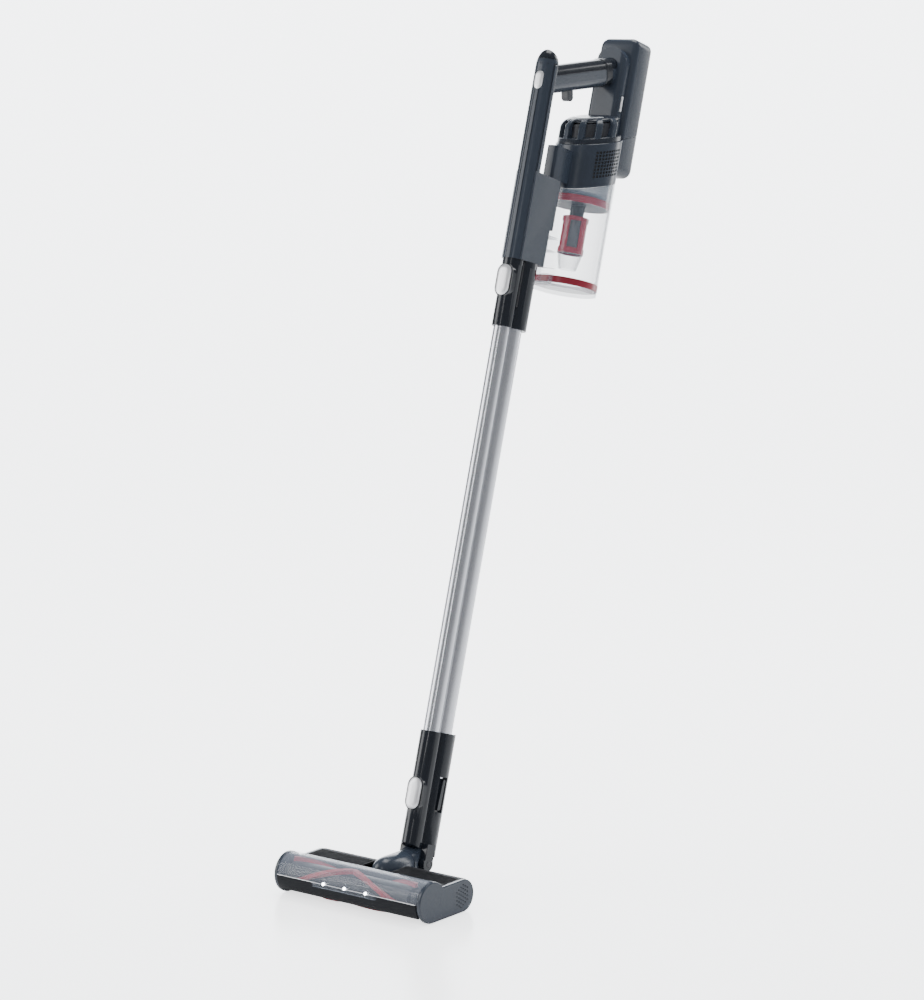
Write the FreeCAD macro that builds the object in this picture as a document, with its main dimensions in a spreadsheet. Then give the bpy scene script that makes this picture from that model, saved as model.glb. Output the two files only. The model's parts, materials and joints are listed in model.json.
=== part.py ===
import FreeCAD, Part
import math
import os
import Sketcher

# Cordless stick vacuum: floor head with a brush roller, elbow and lower connector, aluminium tube and a
# handheld unit with a dust cup, motor and battery. Millimetres, +Z up, the floor at Z = 0.
# The stick leans back by stick_lean. Its own frame has X across, Y to the rear and Z up along the stick,
# and the handle, the motor housing and the battery seam follow a plane that rises to the rear by deck_slope.

vector = FreeCAD.Vector
doc = FreeCAD.newDocument("StickVacuum")
sheet = doc.addObject("Spreadsheet::Sheet", "Sizes")
pieces = []
sheet_row = 0


class Size:
    # A number together with the spreadsheet formula that gives it.
    def __init__(self, value, formula):
        self.value = float(value)
        self.formula = formula

    def __add__(self, other):
        other = as_size(other)
        return Size(self.value + other.value, "(%s + %s)" % (self.formula, other.formula))

    def __radd__(self, other):
        return as_size(other) + self

    def __sub__(self, other):
        other = as_size(other)
        return Size(self.value - other.value, "(%s - %s)" % (self.formula, other.formula))

    def __rsub__(self, other):
        return as_size(other) - self

    def __mul__(self, other):
        other = as_size(other)
        return Size(self.value * other.value, "(%s * %s)" % (self.formula, other.formula))

    def __rmul__(self, other):
        return as_size(other) * self

    def __truediv__(self, other):
        other = as_size(other)
        return Size(self.value / other.value, "(%s / %s)" % (self.formula, other.formula))

    def __neg__(self):
        return Size(-self.value, "(0 - %s)" % self.formula)


def as_size(number):
    if isinstance(number, Size):
        return number
    return Size(number, "(%.6f)" % number)


def given(name, value):
    # Puts a driving dimension in the sheet and returns it.
    global sheet_row
    sheet_row += 1
    sheet.set("A%d" % sheet_row, name)
    sheet.set("B%d" % sheet_row, str(value))
    sheet.setAlias("B%d" % sheet_row, name)
    return Size(value, "Sizes." + name)


def cosine(angle):
    return Size(math.cos(math.radians(angle.value)), "cos(%s)" % angle.formula)


def sine(angle):
    return Size(math.sin(math.radians(angle.value)), "sin(%s)" % angle.formula)


def bind(item, path, size):
    size = as_size(size)
    item.setExpression(path, size.formula)


# ---------------------------------------------------------------- driving dimensions
stick_lean = given("stick_lean", 16.26)
deck_slope = given("deck_slope", 19.5)
fit_gap = given("fit_gap", 0.3)
wall = given("wall", 2.4)

head_width = given("head_width", 250)
head_y = given("head_y", -297.1)
roll_radius = given("roll_radius", 27.5)
tail_radius = given("tail_radius", 22)
tail_back = given("tail_back", 65.5)
cap_thick = given("cap_thick", 6)
cover_top = given("cover_top", 44)
window_thick = given("window_thick", 1.6)
brush_radius = given("brush_radius", 18.5)
brush_up = given("brush_up", 25.4)
bristle_reach = given("bristle_reach", 24.3)

hinge_back = given("hinge_back", 119.1)
hinge_up = given("hinge_up", 34.6)
hinge_pin_radius = given("hinge_pin_radius", 4)
boss_radius = given("boss_radius", 10)
barrel_radius = given("barrel_radius", 20.5)
barrel_half = given("barrel_half", 13.2)
elbow_up = given("elbow_up", 38)
elbow_radius = given("elbow_radius", 17.5)
swivel_back = given("swivel_back", 97)

stick_base = given("stick_base", 26.5)
lobe_front = given("lobe_front", 14)
lobe_front_radius = given("lobe_front_radius", 11.5)
lobe_rear = given("lobe_rear", 5.3)
lobe_rear_radius = given("lobe_rear_radius", 16.5)
tube_wall = given("tube_wall", 1.2)
tube_low = given("tube_low", 90)
tube_high = given("tube_high", 770)
sleeve_low = given("sleeve_low", 28)
sleeve_high = given("sleeve_high", 151)
socket_low = given("socket_low", 709)
socket_high = given("socket_high", 795)
shell_front_radius = given("shell_front_radius", 14.5)
shell_rear = given("shell_rear", 8)
shell_rear_radius = given("shell_rear_radius", 20.5)

spine_low = given("spine_low", 803)
spine_high = given("spine_high", 1082.5)
spine_half = given("spine_half", 16)
spine_front = given("spine_front", 29)
spine_seam = given("spine_seam", 20)
spine_back = given("spine_back", 9)
spine_round = given("spine_round", 14)
duct_half = given("duct_half", 17)
duct_rear = given("duct_rear", 44)
duct_step = given("duct_step", 856)
duct_recess = given("duct_recess", 34)
duct_high = given("duct_high", 926)

handle_low = given("handle_low", 1059)
handle_half = given("handle_half", 15)
handle_tall = given("handle_tall", 38.5)
dock_front = given("dock_front", 127)
dock_half = given("dock_half", 26)
dock_high = given("dock_high", 1140)

battery_front = given("battery_front", 141)
battery_rear = given("battery_rear", 183)
battery_half = given("battery_half", 32)
battery_low = given("battery_low", 962)
battery_high = given("battery_high", 1157)
battery_round = given("battery_round", 9)

cup_back = given("cup_back", 112)
cup_radius = given("cup_radius", 46)
cup_wall = given("cup_wall", 2)
cup_low = given("cup_low", 800)
lid_low = given("lid_low", 784)
seal_low = given("seal_low", 790)
ring_low = given("ring_low", 906)
ring_high = given("ring_high", 916)
deck_low = given("deck_low", 938)
deck_high = given("deck_high", 1000)
cap_rise = given("cap_rise", 37)
cage_radius = given("cage_radius", 18.5)
cage_low = given("cage_low", 838)
cage_high = given("cage_high", 890)


# ---------------------------------------------------------------- frames
class Frame:
    # A place for a piece: an origin and a turn about X, all as sizes.
    def __init__(self, across, back, up, turn):
        self.across = as_size(across)
        self.back = as_size(back)
        self.up = as_size(up)
        self.turn = as_size(turn)

    def shifted(self, across, back, up):
        across = as_size(across)
        back = as_size(back)
        up = as_size(up)
        new_back = self.back + back * cosine(self.turn) - up * sine(self.turn)
        new_up = self.up + back * sine(self.turn) + up * cosine(self.turn)
        return Frame(self.across + across, new_back, new_up, self.turn)

    def turned(self, angle):
        return Frame(self.across, self.back, self.up, self.turn + angle)

    def place(self, item):
        rotation = FreeCAD.Rotation(vector(1, 0, 0), self.turn.value)
        item.Placement = FreeCAD.Placement(vector(0, 0, 0), rotation)
        bind(item, "Placement.Base.x", self.across)
        bind(item, "Placement.Base.y", self.back)
        bind(item, "Placement.Base.z", self.up)
        bind(item, "Placement.Rotation.Angle", self.turn)


floor_frame = Frame(0, head_y, 0, 0)
hinge_frame = floor_frame.shifted(0, hinge_back, hinge_up)
stick = Frame(0, hinge_frame.back, hinge_frame.up, -stick_lean).shifted(0, 0, stick_base)


def deck(height, back=cup_back):
    # The frame of a deck plane: it passes through height on the cup's axis and rises to the rear.
    return stick.shifted(0, back, height).turned(deck_slope)


# ---------------------------------------------------------------- building blocks
def keep(item, label):
    item.Label = label
    pieces.append(item)
    return item


def helper_name(base):
    return "%s_%d" % (base, len(doc.Objects))


def block(frame, low, high):
    # A box between two corners in a frame.
    low = [as_size(number) for number in low]
    high = [as_size(number) for number in high]
    item = doc.addObject("Part::Box", helper_name("block"))
    frame.shifted(*low).place(item)
    bind(item, "Length", high[0] - low[0])
    bind(item, "Width", high[1] - low[1])
    bind(item, "Height", high[2] - low[2])
    return item


def post(frame, radius, low, high):
    # A cylinder along the frame's own Z.
    item = doc.addObject("Part::Cylinder", helper_name("post"))
    frame.shifted(0, 0, low).place(item)
    bind(item, "Radius", radius)
    bind(item, "Height", as_size(high) - low)
    return item


def bar(frame, radius, left, right):
    # A cylinder along X, made as a padded circle so that its place stays in the frame.
    body = start_body(frame)
    add_pad(body, "YZ", [circle(0, 0, radius)], left, as_size(right) - left)
    return body


def rod(frame, radius, front, rear):
    # A cylinder along the frame's own Y.
    body = start_body(frame)
    add_pad(body, "XZ", [circle(0, 0, radius)], -as_size(rear), as_size(rear) - front)
    return body


def cut(base, *tools):
    for tool in tools:
        item = doc.addObject("Part::Cut", helper_name("cut"))
        item.Base = base
        item.Tool = tool
        base = item
    return base


def fuse(*shapes):
    item = doc.addObject("Part::MultiFuse", helper_name("fuse"))
    item.Shapes = list(shapes)
    item.Refine = True
    return item


def common(*shapes):
    item = doc.addObject("Part::MultiCommon", helper_name("common"))
    item.Shapes = list(shapes)
    return item


def start_body(frame):
    body = doc.addObject("PartDesign::Body", helper_name("body"))
    frame.place(body)
    return body


def circle(across, up, radius):
    return ("circle", as_size(across), as_size(up), as_size(radius))


def outline(*corners):
    # Corners are (across, up) or (across, up, rounding).
    return ("outline", [tuple(as_size(number) for number in corner) for corner in corners])


def rectangle(left, low, right, high, rounding=None):
    corners = [(left, low), (right, low), (right, high), (left, high)]
    if rounding is not None:
        corners = [corner + (rounding,) for corner in corners]
    return outline(*corners)


def fix_point(sketch, geometry, place, across, up):
    for kind, size in (("DistanceX", across), ("DistanceY", up)):
        index = sketch.addConstraint(Sketcher.Constraint(kind, -1, 1, geometry, place, size.value))
        sketch.setExpression("Constraints[%d]" % index, size.formula)


def draw_circle(sketch, shape):
    centre = vector(shape[1].value, shape[2].value, 0)
    index = sketch.addGeometry(Part.Circle(centre, vector(0, 0, 1), shape[3].value), False)
    fix_point(sketch, index, 3, shape[1], shape[2])
    limit = sketch.addConstraint(Sketcher.Constraint("Radius", index, shape[3].value))
    sketch.setExpression("Constraints[%d]" % limit, shape[3].formula)


def draw_outline(sketch, shape):
    corners = shape[1]
    count = len(corners)
    points = [vector(corner[0].value, corner[1].value, 0) for corner in corners]
    trims = []
    for i in range(count):
        before = (points[i - 1] - points[i]).normalize()
        after = (points[(i + 1) % count] - points[i]).normalize()
        radius = corners[i][2].value if len(corners[i]) > 2 else 0
        half = before.getAngle(after) / 2
        reach = radius / math.tan(half)
        trims.append((points[i] + before * reach, points[i] + after * reach, before + after, radius, half))
    lines = []
    for i in range(count):
        start = trims[i][1]
        end = trims[(i + 1) % count][0]
        lines.append(sketch.addGeometry(Part.LineSegment(start, end), False))
    for i in range(count):
        if len(corners[i]) < 3:
            sketch.addConstraint(Sketcher.Constraint("Coincident", lines[i - 1], 2, lines[i], 1))
            fix_point(sketch, lines[i], 1, corners[i][0], corners[i][1])
            continue
        entry, leave, inward, radius, half = trims[i]
        inward.normalize()
        centre = points[i] + inward * (radius / math.sin(half))
        middle = centre - inward * radius
        turns_left = (entry - centre).cross(leave - centre).z > 0
        ends = (entry, leave) if turns_left else (leave, entry)
        arc = sketch.addGeometry(Part.Arc(ends[0], middle, ends[1]), False)
        first, second = (1, 2) if turns_left else (2, 1)
        sketch.addConstraint(Sketcher.Constraint("Tangent", lines[i - 1], 2, arc, first))
        sketch.addConstraint(Sketcher.Constraint("Tangent", lines[i], 1, arc, second))
        limit = sketch.addConstraint(Sketcher.Constraint("Radius", arc, radius))
        sketch.setExpression("Constraints[%d]" % limit, corners[i][2].formula)
        tip = sketch.addGeometry(Part.Point(points[i]), True)
        sketch.addConstraint(Sketcher.Constraint("PointOnObject", tip, 1, lines[i - 1]))
        sketch.addConstraint(Sketcher.Constraint("PointOnObject", tip, 1, lines[i]))
        fix_point(sketch, tip, 1, corners[i][0], corners[i][1])


def add_sketch(body, plane, shapes, start):
    sketch = body.newObject("Sketcher::SketchObject", helper_name("sketch"))
    role = plane + "_Plane"
    support = [item for item in body.Origin.OriginFeatures if item.Role == role][0]
    sketch.AttachmentSupport = (support, "")
    sketch.MapMode = "FlatFace"
    bind(sketch, "AttachmentOffset.Base.z", start)
    for shape in shapes:
        if shape[0] == "circle":
            draw_circle(sketch, shape)
        else:
            draw_outline(sketch, shape)
    return sketch


def add_pad(body, plane, shapes, start, length):
    # Sketch planes: XY looks up the frame's Z, XZ looks to the front (-Y), YZ looks along +X.
    sketch = add_sketch(body, plane, shapes, start)
    pad = body.newObject("PartDesign::Pad", helper_name("pad"))
    pad.Profile = sketch
    pad.Length = as_size(length).value
    bind(pad, "Length", length)
    return pad


def padded(frame, plane, shapes, start, length):
    body = start_body(frame)
    add_pad(body, plane, shapes, start, length)
    return body


def turned(frame, shape):
    # A turned piece: the outline is (radius, height) and spins about the frame's Z.
    body = start_body(frame)
    sketch = add_sketch(body, "XZ", [shape], 0)
    spin = body.newObject("PartDesign::Revolution", helper_name("spin"))
    spin.Profile = sketch
    spin.ReferenceAxis = (sketch, ["V_Axis"])
    spin.Angle = 360
    return body


def stadium(half, low, high):
    # An oval with straight sides, upright in its sketch.
    return rectangle(-as_size(half), low, half, high, as_size(half) * 0.999)


def two_lobes(frame, front_radius, rear_place, rear_radius, low, high):
    # The figure-of-eight section of the tube: a small front lobe and a large rear lobe.
    front = post(frame.shifted(0, -lobe_front, 0), front_radius, low, high)
    rear = post(frame.shifted(0, rear_place, 0), rear_radius, low, high)
    return fuse(front, rear)


# ---------------------------------------------------------------- floor head
brush_axis = floor_frame.shifted(0, 0, brush_up)
motor_back = 57
motor_up = 25
motor_axis = floor_frame.shifted(0, motor_back, motor_up)
wheel_frame = floor_frame.shifted(0, 66, 11)
axle_radius = as_size(2)
belt_left = 98
belt_right = 104
head_half = head_width / 2
inner_half = head_half - cap_thick
chamber_radius = roll_radius - window_thick


def disc_along_x(centre_back, centre_up, radius, left, right):
    return bar(floor_frame.shifted(0, centre_back, centre_up), radius, left, right)


def end_cap(side):
    left = -head_half if side < 0 else inner_half
    right = -inner_half if side < 0 else head_half
    front = disc_along_x(0, roll_radius, roll_radius, left, right)
    rear = disc_along_x(tail_back, tail_radius, tail_radius, left, right)
    web = padded(floor_frame, "YZ", [outline((0, 0), (tail_back, 0), (tail_back, cover_top), (0, cover_top))],
                 left, right - left)
    cap = fuse(front, rear, web)
    # A round dish inside the front round takes the roller's end bearing.
    dish_left = left + 3 if side < 0 else left
    dish_right = right if side < 0 else right - 3
    dish = disc_along_x(0, brush_up, 12 + fit_gap, dish_left, dish_right)
    return cut(cap, dish)


keep(end_cap(-1), "left_end_cap")
keep(end_cap(1), "right_end_cap")


def make_chassis():
    # The inner frame: floor of the rear part, the chamber's rear wall and the motor bay.
    base = padded(floor_frame, "YZ",
                  [outline((16, 2), (tail_back, 2), (tail_back + 20, 16), (tail_back + 20, 20),
                           (tail_back - 2, 20), (tail_back - 2, 6), (32, 6), (32, 40), (24, 40))],
                  -inner_half, inner_half * 2)
    hollow = fuse(disc_along_x(0, roll_radius, chamber_radius + 0.6, -inner_half - 1, inner_half + 1),
                  disc_along_x(0, brush_up, bristle_reach + 0.9, -inner_half - 1, inner_half + 1))
    elbow_way = block(floor_frame, (-24, 30, 15), (24, tail_back + 24, 60))
    left_wheel = block(floor_frame, (-81, 50, 0), (-65, 82, 26))
    right_wheel = block(floor_frame, (65, 50, 0), (81, 82, 26))
    belt_way = block(floor_frame, (96, 10, 9), (106, 72, 46))
    shell = cut(base, hollow, elbow_way, left_wheel, right_wheel, belt_way)
    blocks = [shell]
    for middle in (-83.5, -62.5, 62.5, 83.5):
        blocks.append(block(floor_frame, (middle - 2.5, 60, 4), (middle + 2.5, 72, 15)))
    for middle in (34, 56):
        blocks.append(block(floor_frame, (middle - 3, 46, 4), (middle + 3, 62, 22)))
    bores = [bar(wheel_frame, axle_radius, -90, 90), bar(motor_axis, 12, 20, 94)]
    return cut(fuse(*blocks), *bores)


keep(make_chassis(), "head_chassis")


def make_sole():
    # The sole plate behind the roller's mouth, with the two glide strips that rest on the floor.
    plate = padded(floor_frame, "XY",
                   [rectangle(-inner_half + 1, 19, inner_half - 1, tail_back + 6, 4)], 0.4, 1.5)
    left_wheel = block(floor_frame, (-81, 50, 0), (-65, 82, 5))
    right_wheel = block(floor_frame, (65, 50, 0), (81, 82, 5))
    front_strip = block(floor_frame, (-inner_half + 6, 21, 0), (inner_half - 6, 26, 0.5))
    rear_strip = block(floor_frame, (-55, 60, 0), (55, 66, 0.5))
    return fuse(cut(plate, left_wheel, right_wheel), front_strip, rear_strip)


keep(make_sole(), "sole_plate")


def make_rear_cover():
    # The dark top cover behind the window, open in the middle for the elbow.
    low = 22.5
    shell = padded(floor_frame, "YZ",
                   [outline((low, 20.4), (low, cover_top), (tail_back + tail_radius, cover_top, 20),
                            (tail_back + tail_radius, 20.4))], -inner_half, inner_half * 2)
    inside = padded(floor_frame, "YZ",
                    [outline((34, 10), (34, cover_top - 2.4), (tail_back + 19.4, cover_top - 2.4, 17.6),
                             (tail_back + 19.4, 10))], -inner_half - 1, inner_half * 2 + 2)
    hollow = disc_along_x(0, roll_radius, roll_radius + 0.4, -inner_half - 1, inner_half + 1)
    frame_bar = block(floor_frame, (-inner_half - 1, 10, 10), (inner_half + 1, 32.4, 40.4))
    elbow_way = block(floor_frame, (-25, 36, 10), (25, tail_back + 24, 60))
    belt_way = block(floor_frame, (95.5, 20, 10), (106.5, 36, 41.4))
    return cut(shell, inside, hollow, frame_bar, elbow_way, belt_way)


keep(make_rear_cover(), "rear_cover")


def ring_sector(inner, outer, start, end, left, right):
    # Part of a tube along X round the roller's axis, between two angles from the front (-Y), turning up.
    ring = padded(floor_frame.shifted(0, 0, roll_radius), "YZ",
                  [circle(0, 0, outer), circle(0, 0, inner)], left, right - left)
    reach = 80.0
    points = [(0, 0)]
    steps = 4
    for i in range(steps + 1):
        angle = math.radians(start + (end - start) * i / steps)
        points.append((-reach * math.cos(angle), reach * math.sin(angle)))
    wedge = padded(floor_frame.shifted(0, 0, roll_radius), "YZ", [outline(*points)],
                   left - 1, right - left + 2)
    return common(ring, wedge)


window = ring_sector(chamber_radius, roll_radius, -4, 143, -inner_half + 0.1, inner_half - 0.1)
keep(window, "roller_window")

bumper = ring_sector(chamber_radius, roll_radius, -40, -4.2, -inner_half, inner_half)
lip = block(floor_frame, (-inner_half, -30.4, 22.4), (inner_half, -27, 25.4))
keep(fuse(bumper, lip), "front_bumper")

led_bar = padded(floor_frame, "XY", [rectangle(-54, -32, 54, -27.6, 2)], 25.6, 4.5)
keep(led_bar, "led_light_bar")


def make_leds():
    lenses = []
    for across in (-36, 0, 36):
        lenses.append(block(floor_frame, (across - 3, -30.9, 30.3), (across + 3, -28.2, 32)))
    board = block(floor_frame, (-50, -30.4, 30.2), (50, -28.4, 30.9))
    return fuse(board, *lenses)


keep(make_leds(), "led_strip")


def make_roller():
    core = bar(brush_axis, brush_radius, -110, 96)
    left_journal = bar(brush_axis, 5, -118, -109)
    right_journal = bar(brush_axis, 5, 95, 118)
    pulley = bar(brush_axis, 13, 95, belt_right + 1)
    bore = bar(brush_axis, 15, -100, 88)
    return cut(fuse(core, left_journal, right_journal, pulley), bore)


keep(make_roller(), "brush_core")


def make_bristles():
    # Chevron rows of tufts stood on the core: each row steps round the core towards the middle.
    tufts = []
    rows = 4
    steps = 9
    for row in range(rows):
        for step in range(-steps, steps + 1):
            across = step * 10.6 - 7
            angle = row * 360.0 / rows + abs(step) * 8.0
            frame = brush_axis.turned(as_size(angle))
            tufts.append(block(frame.shifted(across, -2.2, brush_radius - 0.6),
                               (-5.2, 0, 0), (5.2, 4.4, bristle_reach - brush_radius + 0.6)))
    return cut(fuse(*tufts), bar(brush_axis, brush_radius, -120, 120))


keep(make_bristles(), "bristle_rows")


def bearing(left, right):
    return cut(bar(brush_axis, 12, left, right), bar(brush_axis, as_size(5) + 0.03, left - 1, right + 1))


keep(fuse(bearing(-121.9, -112), bearing(112, 121.9)), "roller_bearings")

keep(cut(bar(motor_axis, 12, 28, 62), bar(motor_axis, 2.5, 52, 63)), "brush_motor")
pulley_and_shaft = fuse(bar(motor_axis, 2.45, 52.5, belt_right + 1), bar(motor_axis, 6, 97, belt_right + 1))
keep(pulley_and_shaft, "motor_pulley")


def belt_hull(large, small):
    # Two discs and the flat between their outer tangents.
    climb = motor_up - brush_up.value
    reach = math.hypot(motor_back, climb)
    drop = math.atan2(climb, motor_back)
    lean = math.acos((large - small) / reach)
    corners = []
    for centre, radius in (((0, brush_up.value), large), ((motor_back, motor_up), small)):
        for side in (1, -1):
            angle = drop + side * lean
            corners.append((centre[0] + radius * math.cos(angle), centre[1] + radius * math.sin(angle)))
    flat = padded(floor_frame, "YZ", [outline(corners[0], corners[2], corners[3], corners[1])],
                  belt_left, belt_right - belt_left)
    return fuse(flat, bar(brush_axis, large, belt_left, belt_right),
                bar(motor_axis, small, belt_left, belt_right))


keep(cut(belt_hull(14.6, 7.6), belt_hull(13.1, 6.1)), "drive_belt")


def wheel(frame, radius, left, right, bore):
    body = start_body(frame)
    add_pad(body, "YZ", [circle(0, 0, radius), circle(0, 0, bore)], left, as_size(right) - left)
    return body


for side, name in ((-1, "left"), (1, "right")):
    inner = side * 73 - 6
    outer = side * 73 + 6
    keep(wheel(wheel_frame, 11, inner, outer, axle_radius + 0.05), name + "_rear_wheel")
axles = fuse(bar(wheel_frame, axle_radius, -86, -60), bar(wheel_frame, axle_radius, 60, 86))
keep(axles, "wheel_axles")


# ---------------------------------------------------------------- elbow
elbow_axis = floor_frame.shifted(0, 0, elbow_up)


def make_elbow_front():
    # The fixed half of the elbow: a tube from the swivel ring to a closed, rounded nose over the head, where
    # the air way turns down through the foot.
    tube = rod(elbow_axis, elbow_radius, 54, swivel_back)
    nose = common(rod(elbow_axis, elbow_radius, 30, 54.4),
                  bar(elbow_axis.shifted(0, 54.4, 0), elbow_radius, -20, 20))
    knuckle = bar(floor_frame.shifted(0, 48, 32), 14, -17, 17)
    ring = rod(elbow_axis, elbow_radius - 2.6, swivel_back - 1, swivel_back + 5)
    way = rod(elbow_axis, elbow_radius - 5.2, 44, swivel_back + 6)
    foot = block(floor_frame, (-23.6, 36.4, 16), (23.6, 60, 24))
    drop = block(floor_frame, (-9, 45, 15), (9, 57, elbow_up))
    return cut(fuse(tube, nose, knuckle, ring, foot), way, drop)


keep(make_elbow_front(), "elbow_front")


def make_elbow_rear():
    # The turning half: a short tube and the barrel that the hinge pin passes through.
    tube = rod(elbow_axis, elbow_radius, swivel_back + 0.3, hinge_back)
    barrel = bar(hinge_frame, barrel_radius, -barrel_half, barrel_half)
    socket = rod(elbow_axis, elbow_radius - 2.55, swivel_back - 1, swivel_back + 6)
    way = rod(elbow_axis, elbow_radius - 6.2, swivel_back - 1, hinge_back)
    rise = post(hinge_frame.turned(-stick_lean), 10, 0, 40)
    pin = bar(hinge_frame, hinge_pin_radius + 0.02, -barrel_half - 1, barrel_half + 1)
    left_ear_room = bar(hinge_frame, boss_radius + 6, -30, -barrel_half)
    right_ear_room = bar(hinge_frame, boss_radius + 6, barrel_half, 30)
    return cut(fuse(tube, barrel), socket, way, rise, pin, left_ear_room, right_ear_room)


keep(make_elbow_rear(), "elbow_rear")


# ---------------------------------------------------------------- lower connector
def lobed(frame, low, high, grow=0.0):
    return two_lobes(frame, shell_front_radius + grow, shell_rear, shell_rear_radius + grow, low, high)


def tube_bore(low, high):
    return two_lobes(stick, lobe_front_radius + fit_gap, lobe_rear, lobe_rear_radius + fit_gap, low, high)


def button_window(middle, length, half):
    # The stadium-shaped way through the front wall for a release button.
    return padded(stick, "XZ", [stadium(half, as_size(middle) - length / 2, as_size(middle) + length / 2)],
                  24.5, 16)


def bezel(middle, length, half, low_depth):
    # The raised rim round a release button, seated on the round front of the connector.
    rim = padded(stick, "XZ",
                 [stadium(as_size(half) + 2.2, as_size(middle) - length / 2 - 2.2,
                          as_size(middle) + length / 2 + 2.2)], low_depth, 10)
    rim_front = block(stick, (-20, -60, 0), (20, -29.8, 1200))
    seat = post(stick.shifted(0, -lobe_front, 0), shell_front_radius, 0, 1200)
    return cut(rim, rim_front, seat, button_window(middle, length, half))


def release_button(middle, length, half):
    # A domed oval button that stands a little proud of its rim.
    gap = as_size(fit_gap)
    return padded(stick, "XZ",
                  [stadium(as_size(half) - gap, as_size(middle) - length / 2 + gap,
                           as_size(middle) + length / 2 - gap)], 28.2, 3.4)


lower_button = 65
upper_button = 772
button_long = as_size(43)
button_half = as_size(11.4)


def make_lower_sleeve():
    body = lobed(stick, sleeve_low, sleeve_high)
    bore = tube_bore(tube_low - 1, sleeve_high + 1)
    way = post(stick.shifted(0, lobe_rear, 0), lobe_rear_radius - 3, sleeve_low - 1, tube_low)
    pocket = block(stick, (16, -1, 44), (40, 13, 92))
    corner = block(stick.shifted(0, shell_rear + shell_rear_radius, sleeve_high).turned(as_size(-40)),
                   (-40, -12, 0), (40, 30, 20))
    lever = padded(stick, "YZ", [outline((3, 46, 2), (10, 48, 2), (11, 88, 2), (6, 90, 2))], 15.6, 4)
    shell = cut(body, bore, way, pocket, corner, button_window(lower_button, button_long, button_half))
    return fuse(shell, bezel(lower_button, button_long, button_half, 18), lever)


keep(make_lower_sleeve(), "lower_connector")
keep(release_button(lower_button, button_long, button_half), "head_release_button")


def make_neck_socket():
    # The round-bottomed socket over the elbow's barrel, with an ear each side for the hinge pin.
    body = lobed(stick, -17, sleeve_low)
    ears = bar(hinge_frame, boss_radius, -23, 23)
    ear_web = block(stick, (-23, -8, -26), (23, 9, 0))
    ear_mask = fuse(block(stick, (-23, -12, -40), (-barrel_half - 0.3, 24, 8)),
                    block(stick, (barrel_half + 0.3, -12, -40), (23, 24, 8)))
    ear_part = common(fuse(ears, ear_web), ear_mask)
    sweep = bar(hinge_frame, barrel_radius + 0.8, -barrel_half - 0.3, barrel_half + 0.3)
    room = bar(hinge_frame, barrel_radius + 0.8, -30, 30)
    scoops = []
    for angle in (-10, -5, 0):
        scoop = hinge_frame.turned(as_size(angle)).shifted(0, 0, elbow_up - hinge_up)
        scoops.append(rod(scoop, elbow_radius + 0.9, -70, 0))
    front_cut = block(stick.shifted(0, -8, -13).turned(as_size(-18)), (-40, -60, -30), (40, 0, 4))
    way = post(stick.shifted(0, lobe_rear, 0), lobe_rear_radius - 5, -20, sleeve_low + 1)
    pin = bar(hinge_frame, hinge_pin_radius, -30, 30)
    shell = cut(body, room, front_cut, way, *scoops)
    return cut(fuse(shell, ear_part), sweep, pin)


keep(make_neck_socket(), "neck_socket")
keep(bar(hinge_frame, hinge_pin_radius, -23.4, 23.4), "hinge_pin")

hose_axis = stick.shifted(0, lobe_rear, 0)
keep(cut(post(hose_axis, 11.3, -3, sleeve_low - 0.5), post(hose_axis, 9.7, -5, sleeve_low + 1)), "air_hose")


# ---------------------------------------------------------------- tube
def make_tube():
    outer = two_lobes(stick, lobe_front_radius, lobe_rear, lobe_rear_radius, tube_low, tube_high)
    inner_rear = post(stick.shifted(0, lobe_rear, 0), lobe_rear_radius - tube_wall,
                      tube_low - 1, tube_high + 1)
    inner_front = post(stick.shifted(0, -lobe_front, 0), lobe_front_radius - tube_wall,
                       tube_low - 1, tube_high + 1)
    web = block(stick, (-12, -8.6, tube_low - 2), (12, -7.4, tube_high + 2))
    return cut(outer, cut(fuse(inner_rear, inner_front), web))


keep(make_tube(), "aluminium_tube")


def make_harness():
    # The wiring in the small lobe: a contact plug at each end and the cable between them.
    low_plug = post(stick.shifted(0, -lobe_front - 0.6, 0), 8.5, tube_low, tube_low + 14)
    high_plug = post(stick.shifted(0, -lobe_front - 0.6, 0), 8.5, tube_high - 14, tube_high)
    behind = block(stick, (-12, -8.8, tube_low - 1), (12, 0, tube_high + 1))
    cable = post(stick.shifted(0, -lobe_front - 1, 0), 3, tube_low + 13, tube_high - 13)
    return cut(fuse(low_plug, high_plug, cable), behind)


keep(make_harness(), "tube_wiring")


# ---------------------------------------------------------------- handheld: duct and spine
def make_tube_socket():
    body = lobed(stick, socket_low, socket_high)
    bore = tube_bore(socket_low - 1, tube_high + 1)
    way = post(stick.shifted(0, lobe_rear, 0), lobe_rear_radius - 3, tube_high, spine_low + 1)
    wire_way = post(stick.shifted(0, -lobe_front, 0), 6, tube_high, spine_low + 1)
    corner = block(stick.shifted(0, shell_rear + shell_rear_radius, socket_low).turned(as_size(40)),
                   (-40, -12, -20), (40, 30, 0))
    collar = lobed(stick, socket_high, spine_low, 0.4)
    shell = cut(fuse(body, collar), bore, way, wire_way, corner,
                button_window(upper_button, button_long, button_half))
    return fuse(shell, bezel(upper_button, button_long, button_half, 18))


keep(make_tube_socket(), "tube_socket")
keep(release_button(upper_button, button_long, button_half), "tube_release_button")


def spine_section(inset):
    # The spine's D-shaped section: a round front and square rear corners.
    half = spine_half - inset
    front = -spine_front + inset
    back = -spine_back - inset
    return outline((-half, front, spine_round - inset), (half, front, spine_round - inset),
                   (half, back, 2), (-half, back, 2))


def spine_prism(inset, low, high):
    return padded(stick, "XY", [spine_section(inset)], low, as_size(high) - low)


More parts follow.
